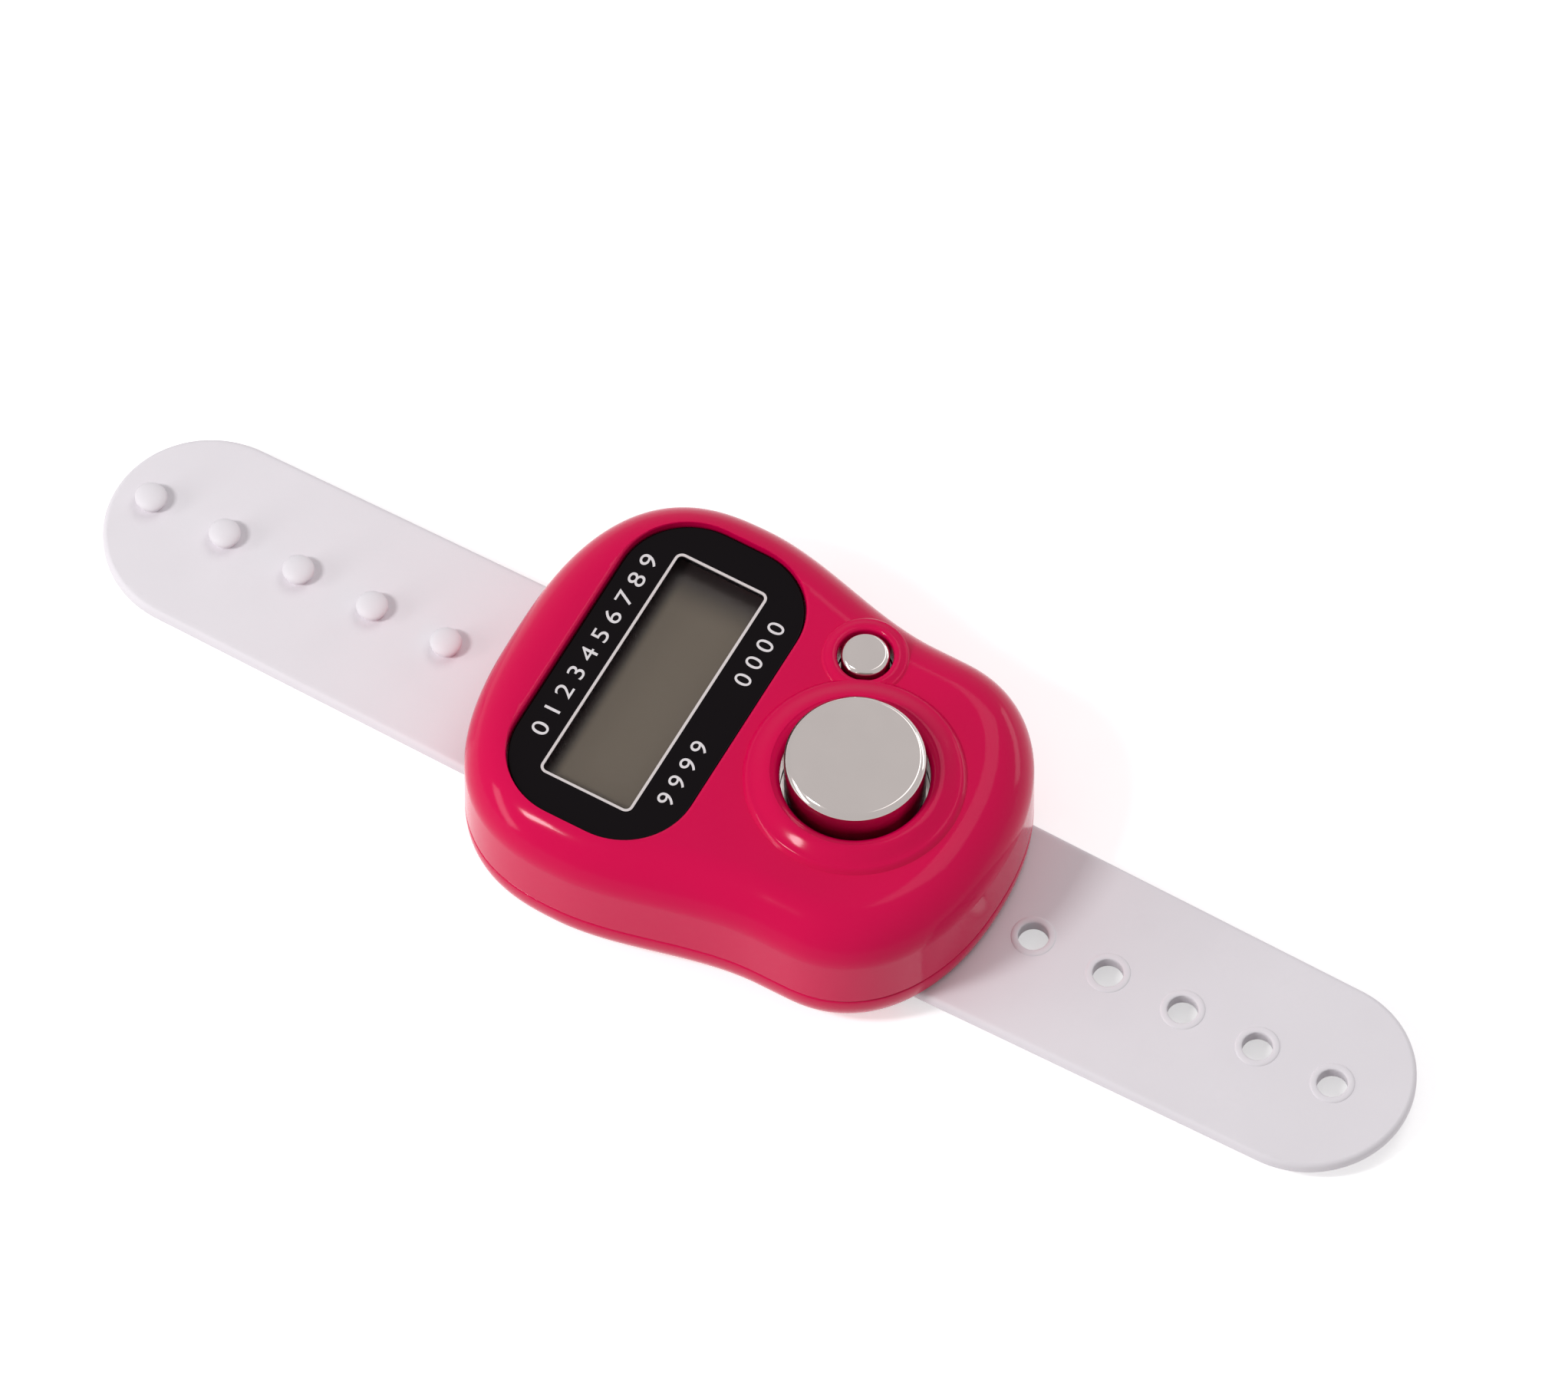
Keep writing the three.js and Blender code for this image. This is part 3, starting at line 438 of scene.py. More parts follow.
def add_node(tree, kind, inputs=None, **settings):
    """Adds a node with its settings. An input is a value, or the socket or node that it is linked to."""
    node = tree.nodes.new(kind)
    for name, value in settings.items():
        setattr(node, name, value)
    for key, value in (inputs or {}).items():
        for item in value if isinstance(value, list) else [value]:
            if isinstance(item, bpy.types.Node):
                item = item.outputs[0]
            if isinstance(item, bpy.types.NodeSocket):
                tree.links.new(item, node.inputs[key])
            else:
                node.inputs[key].default_value = item
    return node


def shape_tree(name, labels, make, material):
    """A geometry tree that sets a shape on each point, in one material, and its inputs' identifiers."""
    tree = bpy.data.node_groups.new(name, "GeometryNodeTree")
    tree.interface.new_socket(name="Geometry", in_out="INPUT", socket_type="NodeSocketGeometry")
    tree.interface.new_socket(name="Geometry", in_out="OUTPUT", socket_type="NodeSocketGeometry")
    identifiers = {}
    for text in labels:
        socket = tree.interface.new_socket(name=text, in_out="INPUT", socket_type="NodeSocketFloat")
        identifiers[text] = socket.identifier
    given = add_node(tree, "NodeGroupInput").outputs
    inputs = {"Points": given["Geometry"], "Instance": make(tree, given)}
    geometry = add_node(tree, "GeometryNodeInstanceOnPoints", inputs)
    for kind in ("GeometryNodeSetShadeSmooth", "GeometryNodeRealizeInstances"):
        geometry = add_node(tree, kind, {"Geometry": geometry})
    inputs = {"Geometry": geometry, "Material": bpy.data.materials[material]}
    add_node(tree, "NodeGroupOutput", {"Geometry": add_node(tree, "GeometryNodeSetMaterial", inputs)})
    return tree, identifiers


def grow(name, tree, identifiers, values, points):
    """The plain mesh that a geometry tree makes from some points."""
    obj = add_object(name, (points, []))
    modifier = obj.modifiers.new("grow", "NODES")
    modifier.node_group = tree
    for text, value in values.items():
        modifier[identifiers[text]] = value
    apply_modifiers(obj)
    obj.data.set_sharp_from_angle(angle=SMOOTH_ANGLE)
    return obj


# ---- Materials


def empty_tree(owner):
    """The node tree of a new material or world, without nodes."""
    owner.use_nodes = True
    owner.node_tree.nodes.clear()
    return owner.node_tree


def new_material(name, **inputs):
    """A material with one shader, its plain values set by name, and the point that its patterns read."""
    material = bpy.data.materials.new(name)
    tree = empty_tree(material)
    values = {key.replace("_", " "): value for key, value in inputs.items()}
    shader = add_node(tree, "ShaderNodeBsdfPrincipled", values)
    add_node(tree, "ShaderNodeOutputMaterial", {"Surface": shader})
    return material, tree, shader, add_node(tree, "ShaderNodeTexCoord").outputs["Object"]


def per(millimetres):
    """A texture's scale at which its pattern has this size."""
    return 1 / (millimetres * MM)


def vary_colour(tree, shader, factor, low, high):
    """Links a shader's colour to a blend between two colours."""
    inputs = {"Factor": factor, MIX_LOW: low, MIX_HIGH: high}
    blend = add_node(tree, "ShaderNodeMix", inputs, data_type="RGBA")
    tree.links.new(blend.outputs[MIX_OUT], shader.inputs["Base Color"])


def vary_roughness(tree, shader, factor, low, high):
    """Links a shader's roughness to a range."""
    spread = add_node(tree, "ShaderNodeMapRange", {"Value": factor, "To Min": low, "To Max": high})
    tree.links.new(spread.outputs[0], shader.inputs["Roughness"])


def raise_surface(tree, shader, height, millimetres):
    """Links a shader's normal to a height pattern of this depth."""
    inputs = {"Height": height, "Distance": millimetres * MM, "Strength": 1.0}
    tree.links.new(add_node(tree, "ShaderNodeBump", inputs).outputs[0], shader.inputs["Normal"])


def patterned(name, grain, detail, rough, tones=None, height=None, stretch=None, **values):
    """A material whose roughness follows a noise, and with it its colour and its height if they are given."""
    material, tree, shader, place = new_material(name, **values)
    drawn_out = add_node(tree, "ShaderNodeMapping", {"Vector": place, "Scale": stretch}) if stretch else place
    inputs = {"Vector": drawn_out, "Scale": per(grain), "Detail": detail}
    pattern = add_node(tree, "ShaderNodeTexNoise", inputs)
    vary_roughness(tree, shader, pattern, *rough)
    if tones:
        vary_colour(tree, shader, pattern, *tones)
    if height:
        raise_surface(tree, shader, pattern, height)
    return material, tree, shader, place


def gloss_abs(colours):
    """ABS from a polished mould: a deep even colour, a soft gloss and a trace of orange peel."""
    values = {"IOR": 1.54, "Specular_IOR_Level": 0.1}
    _, tree, shader, place = patterned("gloss_abs", 1.6, 2.0, rough=(0.09, 0.15), height=0.006, **values)
    cloud = add_node(tree, "ShaderNodeTexNoise", {"Vector": place, "Scale": per(9), "Detail": 3.0})
    vary_colour(tree, shader, cloud, colours.case_deep, colours.case)


def printed_acrylic(colours):
    """Acrylic sheet, polished, with black print behind it: a near black gloss with fine wipe marks."""
    values = {"Base_Color": colours.window, "IOR": 1.49, "Specular_IOR_Level": 0.06}
    patterned("printed_acrylic", 0.25, 4.0, (0.04, 0.12), stretch=(1.0, 0.08, 1.0), **values)


def clear_acrylic():
    """Acrylic sheet where it is not printed: clear, with a thin film of gloss."""
    values = {"Base_Color": linear("101010"), "IOR": 1.49, "Specular_IOR_Level": 0.1, "Alpha": 0.06}
    material = patterned("clear_acrylic", 0.6, 2.0, (0.02, 0.06), **values)[0]
    material.surface_render_method = "BLENDED"


def foil_print(colours):
    """Hot foil line, pressed on: bright silver with the faint grain of the sheet, drawn coarser to show."""
    patterned("foil_print", 0.12, 2.0, (0.3, 0.45), Base_Color=colours.silver, Metallic=0.7)


def screen_print(colours):
    """Screen-printed ink: matt white that lies a little unevenly, in spots drawn coarser than the mesh."""
    patterned("screen_print", 0.2, 3.0, (0.45, 0.6), (linear("D9D5D7"), colours.numerals))


def display_glass(colours, sizes):
    """Liquid crystal glass under its polariser, at rest: olive grey, with painted shade near its left and far
    edges.
    """
    _, tree, shader, place = new_material("liquid_crystal_glass", IOR=1.52, Specular_IOR_Level=0.3)
    axes = add_node(tree, "ShaderNodeSeparateXYZ", {"Vector": place}).outputs
    left, far = sizes.view_x - sizes.view_width / 2, sizes.view_length / 2
    # Painted shade where the print would shade the glass: a short way in from the left edge and a longer one
    # from the far edge.
    painted_shades = []
    for axis, edge, reach in (("X", left, 1.3 * MM), ("Y", far, -3.6 * MM)):
        inputs = {"Value": axes[axis], "From Min": edge, "From Max": edge + reach}
        painted_shades.append(add_node(tree, "ShaderNodeMapRange", inputs, interpolation_type="SMOOTHSTEP"))
    both = add_node(tree, "ShaderNodeMath", {0: painted_shades[0], 1: painted_shades[1]}, operation="MULTIPLY")
    # The dark colour is painted shade; the display colour is the glass's own.
    vary_colour(tree, shader, both, linear("352D2E"), colours.display)
    inputs = {"Vector": place, "Scale": per(0.35) / BANDS_PER_SCALE}
    lines = add_node(tree, "ShaderNodeTexWave", inputs, bands_direction="Y", wave_profile="SIN")
    vary_roughness(tree, shader, lines.outputs["Fac"], 0.24, 0.26)


def chrome_plate(colours):
    """Plated ABS: a warm bright metal, polished, with slight waves of the moulding under it."""
    values = {"Base_Color": colours.chrome, "Metallic": 1.0}
    _, tree, shader, place = patterned("chrome_plate", 2.5, 4.0, (0.07, 0.16), **values)
    waves = add_node(tree, "ShaderNodeTexNoise", {"Vector": place, "Scale": per(4), "Detail": 1.0})
    raise_surface(tree, shader, waves, 0.004)


def frosted_silicone(colours):
    """Silicone rubber from a matt mould: milky and soft, with a fine frost on its skin.

    The real frost is too fine to show, so it is drawn coarser, at 0.3 mm.
    """
    values = {"IOR": 1.41, "Specular_IOR_Level": 0.35}
    _, tree, shader, place = patterned("frosted_silicone", 0.3, 3.0, (0.42, 0.58), height=0.006, **values)
    cloud = add_node(tree, "ShaderNodeTexNoise", {"Vector": place, "Scale": per(6), "Detail": 3.0})
    vary_colour(tree, shader, cloud, linear("E2DDE2"), colours.strap)


def rolled_steel(name, code, low, high, grain):
    """Rolled and plated sheet or wire: a satin metal with drawn grain along the strap.

    Real grain is hundredths of a millimetre wide and is drawn as coarse as it needs to show.
    """
    values = {"Base_Color": linear(code), "Metallic": 1.0}
    patterned(name, grain, 4.0, (low, high), height=0.003, stretch=(0.05, 1.0, 1.0), **values)


def moulded_plain(name, low, high, rough, grain):
    """Plain moulded or cast stuff: two close tones and an even fine grain, drawn coarser to show."""
    patterned(name, grain, 4.0, (rough - 0.06, rough + 0.06), (linear(low), linear(high)), 0.008)


def circuit_laminate():
    """Glass epoxy laminate with green lacquer: copper tracks shine through it as paler lines."""
    _, tree, shader, place = new_material("circuit_laminate", IOR=1.5)
    inputs = {"Vector": place, "Scale": per(2.6), "Row Height": 0.35}
    inputs |= {"Mortar Size": 0.035, "Mortar Smooth": 0.2}
    tracks = add_node(tree, "ShaderNodeTexBrick", inputs).outputs["Fac"]
    weave = add_node(tree, "ShaderNodeTexChecker", {"Vector": place, "Scale": per(0.45)}).outputs["Fac"]
    inputs = {"Factor": weave, MIX_LOW: linear("17492F"), MIX_HIGH: linear("1A5034")}
    lacquer = add_node(tree, "ShaderNodeMix", inputs, data_type="RGBA").outputs[MIX_OUT]
    vary_colour(tree, shader, tracks, lacquer, linear("3E8A4E"))
    vary_roughness(tree, shader, weave, 0.3, 0.38)
    raise_surface(tree, shader, tracks, 0.02)


def striped_rubber():
    """Elastomer connector: grey silicone with layers of carbon, drawn at twice their real 0.1 mm to show."""
    _, tree, shader, place = new_material("striped_rubber", Roughness=0.7)
    inputs = {"Vector": place, "Scale": per(0.2) / BANDS_PER_SCALE}
    layers = add_node(tree, "ShaderNodeTexWave", inputs, bands_direction="Y", wave_profile="TRI")
    vary_colour(tree, shader, layers.outputs["Fac"], linear("1E1E20"), linear("9A9A9C"))


def tinned_ceramic():
    """Ceramic chip capacitor: tan ceramic whose two ends are dipped in tin, with its grain drawn coarser."""
    _, tree, shader, place = patterned("tinned_ceramic", 0.15, 3.0, (0.35, 0.55))
    half_bare = 0.55 * MM
    y = add_node(tree, "ShaderNodeSeparateXYZ", {"Vector": place}).outputs["Y"]
    side = add_node(tree, "ShaderNodeMath", {0: y}, operation="ABSOLUTE")
    away = add_node(tree, "ShaderNodeMath", {0: side, 1: middle_of("capacitor_2").y}, operation="SUBTRACT")
    away = add_node(tree, "ShaderNodeMath", {0: away}, operation="ABSOLUTE")
    dipped = add_node(tree, "ShaderNodeMath", {0: away, 1: half_bare}, operation="GREATER_THAN").outputs[0]
    vary_colour(tree, shader, dipped, linear("A8875F"), linear("C9C7C2"))
    tree.links.new(dipped, shader.inputs["Metallic"])


def floor_material(colours, glow):
    """Matt painted board: nearly white, and whiter where it is seen, so that only its shadow shows it."""
    material = bpy.data.materials.new("painted_board")
    tree = empty_tree(material)
    place = add_node(tree, "ShaderNodeTexCoord").outputs["Object"]
    cloud = add_node(tree, "ShaderNodeTexNoise", {"Vector": place, "Scale": per(3), "Detail": 3.0})
    inputs = {"Factor": cloud, MIX_LOW: linear("F1EFF0"), MIX_HIGH: colours.floor}
    paint = add_node(tree, "ShaderNodeMix", inputs, data_type="RGBA").outputs[MIX_OUT]
    matt = add_node(tree, "ShaderNodeBsdfDiffuse", {"Color": paint})
    strength = add_node(tree, "ShaderNodeMath", {0: seen_or_mirrored(tree), 1: glow}, operation="MULTIPLY")
    light = add_node(tree, "ShaderNodeEmission", {"Strength": strength})
    both = add_node(tree, "ShaderNodeAddShader", {0: matt, 1: light})
    add_node(tree, "ShaderNodeOutputMaterial", {"Surface": both})
    return material


def seen_or_mirrored(tree):
    """1 where a surface is seen, also in a mirror or through something clear, and 0 where it only lights."""
    path = add_node(tree, "ShaderNodeLightPath").outputs
    inputs = {0: path["Is Camera Ray"], 1: path["Is Glossy Ray"]}
    seen = add_node(tree, "ShaderNodeMath", inputs, operation="MAXIMUM")
    return add_node(tree, "ShaderNodeMath", {0: seen, 1: path["Is Transmission Ray"]}, operation="MAXIMUM")


class COUNTER_OT_materials(bpy.types.Operator):
    """Make every material of the counter"""

    bl_idname = "counter.materials"
    bl_label = "Materials"

    def execute(self, context):
        colours = context.scene.counter_colours
        for make in (gloss_abs, printed_acrylic, foil_print, screen_print, chrome_plate, frosted_silicone):
            make(colours)
        display_glass(colours, context.scene.counter_window)
        for make in (clear_acrylic, circuit_laminate, striped_rubber, tinned_ceramic):
            make()
        # Plated and rolled metals, from the brightest to the dullest.
        rolled_steel("cell_steel", "C8C8C6", 0.18, 0.3, 0.3)
        rolled_steel("spring_steel", "BDBCB6", 0.22, 0.36, 0.25)
        rolled_steel("tinned_can", "B9B8B3", 0.28, 0.42, 0.4)
        rolled_steel("plated_steel", "A9A8A6", 0.3, 0.45, 0.2)
        # Moulded, cast and coated stuff that shows its grain close up.
        moulded_plain("white_abs", "DEDEDA", "E8E8E4", 0.45, 0.8)
        moulded_plain("tape_paper", "E2E2DC", "F0F0EA", 0.75, 0.15)
        moulded_plain("potting_epoxy", "0C0C0E", "17171A", 0.3, 1.2)
        moulded_plain("dome_silicone", "A9A9AC", "B9B9BC", 0.65, 0.4)
        moulded_plain("metallised_film", "A7A79F", "BDBDB5", 0.38, 0.5)
        return {"FINISHED"}


# ---- Case


def case_outline(sizes):
    """The case seen from above, anticlockwise from the tip of the narrow end, as an outline for loft."""
    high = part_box("front_shell")[1]
    reach, wide, narrow = high.x, high.y, sizes.narrow_end_width / 2
    half = []
    for i in range(END_STEPS):
        a = math.pi / 2 * i / END_STEPS
        power = 2 / sizes.narrow_end_power
        x = sizes.narrow_end_x + (reach - sizes.narrow_end_x) * math.cos(a) ** power
        half.append((x, narrow * math.sin(a) ** power))
    for i in range(END_STEPS):
        x = sizes.narrow_end_x + (sizes.wide_end_x - sizes.narrow_end_x) * i / END_STEPS
        narrowed = smooth_step((x - sizes.wide_end_x) / (sizes.waist_end_x - sizes.wide_end_x))
        half.append((x, wide + (narrow - wide) * narrowed))
    for i in range(END_STEPS + 1):
        a = math.pi / 2 * (1 - i / END_STEPS)
        power = 2 / sizes.wide_end_power
        x = sizes.wide_end_x - (reach + sizes.wide_end_x) * math.cos(a) ** power
        half.append((x, wide * math.sin(a) ** power))
    return evenly_spaced(half + [(x, -y) for x, y in reversed(half[1:-1])], OUTLINE_POINTS)


def evenly_spaced(loop, count):
    """Points at equal steps round a closed loop, each with the way out."""
    ends = loop[1:] + loop[:1]
    spans = [math.dist(a, b) for a, b in zip(loop, ends)]
    total = sum(spans)
    points, i, start = [], 0, 0.0
    for k in range(count):
        along = total * k / count
        while start + spans[i] < along:
            start += spans[i]
            i += 1
        t = (along - start) / spans[i]
        (x0, y0), (x1, y1) = loop[i], ends[i]
        points.append((x0 + (x1 - x0) * t, y0 + (y1 - y0) * t))
    outline = []
    for k, (x, y) in enumerate(points):
        (x0, y0), (x1, y1) = points[k - 1], points[(k + 1) % count]
        size = math.dist((x0, y0), (x1, y1))
        outline.append((x, y, (y1 - y0) / size, (x0 - x1) / size))
    return outline


def smooth_step(t):
    """0 to 1 with a soft start and end."""
    t = min(max(t, 0), 1)
    return t * t * (3 - 2 * t)


def middle_of(node):
    """The middle of a CAD node's box."""
    low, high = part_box(node)
    return (low + high) / 2


def screw_places():
    """The middle of each case screw."""
    boxes = [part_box(f"case_screw_{i}") for i in (1, 2, 3, 4)]
    return [((low.x + high.x) / 2, (low.y + high.y) / 2) for low, high in boxes]


def screw_rods(radius, low, high):
    """An upright rod at each case screw."""
    return [rod(x, y, radius, low, high, SMALL_SEGMENTS) for x, y in screw_places()]


def collar(middle, foot, rim, well, roll, top, height):
    """A raised collar round a button: a small step, a sweep up to the rim, and a roll into the well."""
    profile = [(0, top - COLLAR_ROOT), (foot, top - COLLAR_ROOT), (foot, top)]
    for i in range(1, 2 * CURVE_STEPS + 1):
        t = i / (2 * CURVE_STEPS)
        step = math.sin(math.pi / 2 * min(t / COLLAR_STEP, 1))
        rise = smooth_step((t - COLLAR_STEP / 2) / (1 - COLLAR_STEP / 2))
        share = COLLAR_STEP_SHARE * step + (1 - COLLAR_STEP_SHARE) * rise
        profile.append((foot + (rim - foot) * t, top + height * share))
    for sin, cos in quarter_turn(2 * EDGE_STEPS)[1:]:
        profile.append((well + roll * (1 - sin), top + height - roll * (1 - cos)))
    low, inner = profile[-1][1], well - PARTING_GAP
    return turned(middle.x, middle.y, profile + [(inner, low), (0, low)])


class COUNTER_OT_front_shell(bpy.types.Operator):
    """Build the front shell with the window's recess, both collars and what is moulded inside"""

    bl_idname = "counter.front_shell"
    bl_label = "Front Shell"

    def execute(self, context):
        sizes, window = context.scene.counter_case, context.scene.counter_window
        low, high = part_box("front_shell")
        pane_low, pane_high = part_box("display_window")
        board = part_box("circuit_board")[1].z
        top = pane_high.z + WINDOW_SINK
        ceiling = top - sizes.top
        outline = case_outline(sizes)
        edge = quarter_round(0, low.z, sizes.parting_edge, EDGE_STEPS, rising=False)
        shoulder = quarter_round(0, top, sizes.shoulder_round, CURVE_STEPS)
        shell = add_object("front_shell_gloss", loft(outline, edge + shoulder))

        # The collars, then the hollow with its screw posts.
        count, reset = middle_of("count_button"), middle_of("reset_button")
        foot, rim, well, roll = sizes.collar_radius, sizes.collar_rim, sizes.count_well, sizes.collar_roll
        join(shell, collar(count, foot, rim, well, roll, top, high.z - top))
        foot, rim, well = sizes.reset_collar_radius, sizes.reset_collar_rim, sizes.reset_well
        join(shell, collar(reset, foot, rim, well, roll / 3, top, RESET_COLLAR_HEIGHT))
        hollow = quarter_round(sizes.wall, ceiling, sizes.cavity_round, EDGE_STEPS)
        cut(shell, loft(outline, [(sizes.wall, low.z - PAST)] + hollow))
        join(shell, *screw_rods(POST_RADIUS, board + FACE_GAP, ceiling + POST_ROOT))
        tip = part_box("case_screw_1")[1].z + PILOT_SPARE
        cut(shell, *screw_rods(PILOT_RADIUS, board - PAST, tip))

        # The wells of the buttons, the window's recess and the opening under its clear view.
        span = (ceiling - 2 * PAST, high.z + PAST)
        wells = ((count, sizes.count_well), (reset, sizes.reset_well))
        cut(shell, *[rod(middle.x, middle.y, radius, *span) for middle, radius in wells])
        recess = rounded_rectangle(
            (pane_low.x + pane_high.x) / 2,
            pane_high.x - pane_low.x + 2 * window.clearance,
            pane_high.y - pane_low.y + 2 * window.clearance,
            window.corner + window.clearance,
        )
        edge = sizes.recess_edge
        rings = [(-edge * (1 - cos), top - edge * (1 - sin)) for sin, cos in quarter_turn(EDGE_STEPS)]
        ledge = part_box("window_tape")[0].z - FACE_GAP
        cut(shell, loft(recess, [(0, ledge)] + rings + [(-edge, top + PAST)]))
        margin = 0.4 * MM
        half_x, half_y = window.view_width / 2 + margin, window.view_length / 2 + margin
        view_x = window.view_x
        cut(shell, block((view_x - half_x, -half_y, board), (view_x + half_x, half_y, top)))
        finish_piece(shade(shell), "gloss_abs", "case", "case_plastic", "front_shell")
        return {"FINISHED"}


class COUNTER_OT_back_shell(bpy.types.Operator):
    """Build the back shell with the strap's channel and bars, the cell's wall and the screw posts"""

    bl_idname = "counter.back_shell"
    bl_label = "Back Shell"

    def execute(self, context):
        sizes = context.scene.counter_case
        outline = case_outline(sizes)
        strap_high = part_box("strap_middle")[1]
        gap_over, gap_beside, tunnel_roof, tunnel_wall = 0.3 * MM, 0.2 * MM, 0.9 * MM, 1.0 * MM
        channel, half = strap_high.z + gap_over, strap_high.y + gap_beside
        tunnel_top, tunnel_half = channel + tunnel_roof, half + tunnel_wall
        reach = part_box("back_shell")[1].x + PAST
        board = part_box("circuit_board")[0].z

        # The tray, up to a hair below the front shell, and the lip that centres both.
        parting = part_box("front_shell")[0].z - PARTING_GAP
        outside = quarter_round(0, 0, sizes.underside_round, CURVE_STEPS, rising=False)
        outside += quarter_round(0, parting, sizes.parting_edge, EDGE_STEPS)
        shell = add_object("back_shell_gloss", loft(outline, outside))
        inner = sizes.underside_round - sizes.wall
        hollow = quarter_round(sizes.wall, sizes.floor, inner, 2 * EDGE_STEPS, rising=False)
        cut(shell, loft(outline, hollow + [(sizes.wall, parting + PAST)]))
        lip_out, lip_in, lip_root, lip_height = 0.1 * MM, 0.7 * MM, 1.3 * MM, 1.0 * MM
        lip_out, lip_in = sizes.wall + lip_out, sizes.wall + lip_in
        rings = [(lip_out, parting - lip_root), (lip_out, parting + lip_height)]
        lip = add_object("lip", loft(outline, rings))
        cut(lip, loft(outline, [(lip_in, 0), (lip_in, parting + 2 * PAST)]))
        join(shell, lip)

        # The tunnel of the strap, and on it the slotted wall that holds the cell.
        tunnel = add_object("tunnel", block((-reach, -tunnel_half, 0), (reach, tunnel_half, tunnel_top)))
        combine(tunnel, "INTERSECT", loft(outline, outside))
        join(shell, tunnel)
        cell, (cell_low, cell_high) = middle_of("coin_cell"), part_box("coin_cell")
        cell_gap, thickness, wall_height, slot_half = 0.2 * MM, 0.8 * MM, 2.0 * MM, 1.7 * MM
        radius, wall_top = (cell_high.y - cell_low.y) / 2 + cell_gap, tunnel_top + wall_height
        ring = add_object("cell_wall", rod(cell.x, cell.y, radius + thickness, channel, wall_top))
        cut(ring, rod(cell.x, cell.y, radius, tunnel_top, wall_top + PAST))
        slot = block((cell.x - 2 * radius, -slot_half, tunnel_top), (cell.x, slot_half, wall_top + PAST))
        cut(ring, slot)
        join(shell, ring)

        # The posts of the screws, each on a wide foot that stays inside the case.
        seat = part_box("case_screw_1")[0].z + HEAD_SEAT
        for shape in screw_rods(FOOT_RADIUS, FOOT_COVER, seat + FOOT_COVER):
            foot = add_object("foot", shape)
            combine(foot, "INTERSECT", loft(outline, [(FOOT_INSET, POST_ROOT), (FOOT_INSET, parting)]))
            join(shell, foot)
        join(shell, *screw_rods(POST_RADIUS, seat, board - FACE_GAP))

        # The channel with its two bars, and the holes of the screws.
        cut(shell, block((-reach, -half, -PAST), (reach, half, channel)))
        bar_x, bar_root = 12.1 * MM, 0.5 * MM
        join(shell, *[strap_bar(side * bar_x, half + bar_root) for side in (-1, 1)])
        cut(shell, *screw_rods(HEAD_WELL_RADIUS, -PAST, seat))
        cut(shell, *screw_rods(PILOT_RADIUS, 0, board + PAST))
        finish_piece(shade(shell), "gloss_abs", "case", "case_plastic", "back_shell")
        return {"FINISHED"}


def strap_bar(x, half_length):
    """One of the bars under the strap, with rounded long edges."""
    half, height, edge = 1.5 * MM, 1.0 * MM, 0.25 * MM
    section = []
    for across, up, ways in rounded_corners():
        middle_x, middle_z = x + across * (half - edge), height / 2 + up * (height / 2 - edge)
        section += [(middle_x + edge * cos, middle_z + edge * sin) for cos, sin in ways]
    return skin([[(px, y, pz) for px, pz in section] for y in (half_length, -half_length)])


# ---- Window and what is inside


class COUNTER_OT_window(bpy.types.Operator):
    """Build the display window: a black sheet, its clear view, the silver line and plain numerals"""

    bl_idname = "counter.window"
    bl_label = "Window"

    def execute(self, context):
        sizes = context.scene.counter_window
        low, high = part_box("display_window")
        pane = rounded_rectangle((low.x + high.x) / 2, high.x - low.x, high.y - low.y, sizes.corner)
        view = rounded_rectangle(sizes.view_x, sizes.view_width, sizes.view_length, sizes.view_corner)
        bevel = quarter_round(0, high.z, sizes.edge, EDGE_STEPS)
        sheet = add_object("window_sheet", loft(pane, [(0, low.z)] + bevel))
        cut(sheet, loft(view, [(0, low.z - PAST), (0, high.z + PAST)]))
        finish_piece(shade(sheet), "printed_acrylic", "case", "window_acrylic", "display_window")
        inset = 0.01 * MM
        clear = add_object("window_view", loft(view, [(inset, low.z), (inset, high.z - FACE_GAP)]))
        finish_piece(shade(clear), "clear_acrylic", "case", "window_acrylic")

        # The line overlaps the edge of the print a little, and is sunk so that it has no gap under it.
        on_top, overlap, sunk = high.z + sizes.print_thickness, 0.08 * MM, 0.1 * MM
        line = add_object("silver_line", loft(view, [(-overlap, high.z - sunk), (-overlap, on_top)]))
        inside = sizes.frame_width - overlap
        cut(line, loft(view, [(inside, low.z), (inside, on_top + PAST)]))
        finish_piece(shade(line), "foil_print", "case", "window_acrylic")
        long_side, button_side = -13.45 * MM, -2.95 * MM
        for name, text, middle, run in (
            ("numerals", "0 1 2 3 4 5 6 7 8 9", (long_side, 0.6 * MM), 16.4 * MM),
            ("reset_numerals", "0 0 0 0", (button_side, 5.6 * MM), 5.6 * MM),
            ("count_numerals", "9 9 9 9", (button_side, -5.4 * MM), 5.6 * MM),
        ):
            print_numerals(name, text, sizes.numeral_height, middle, run, high.z, on_top)
        return {"FINISHED"}


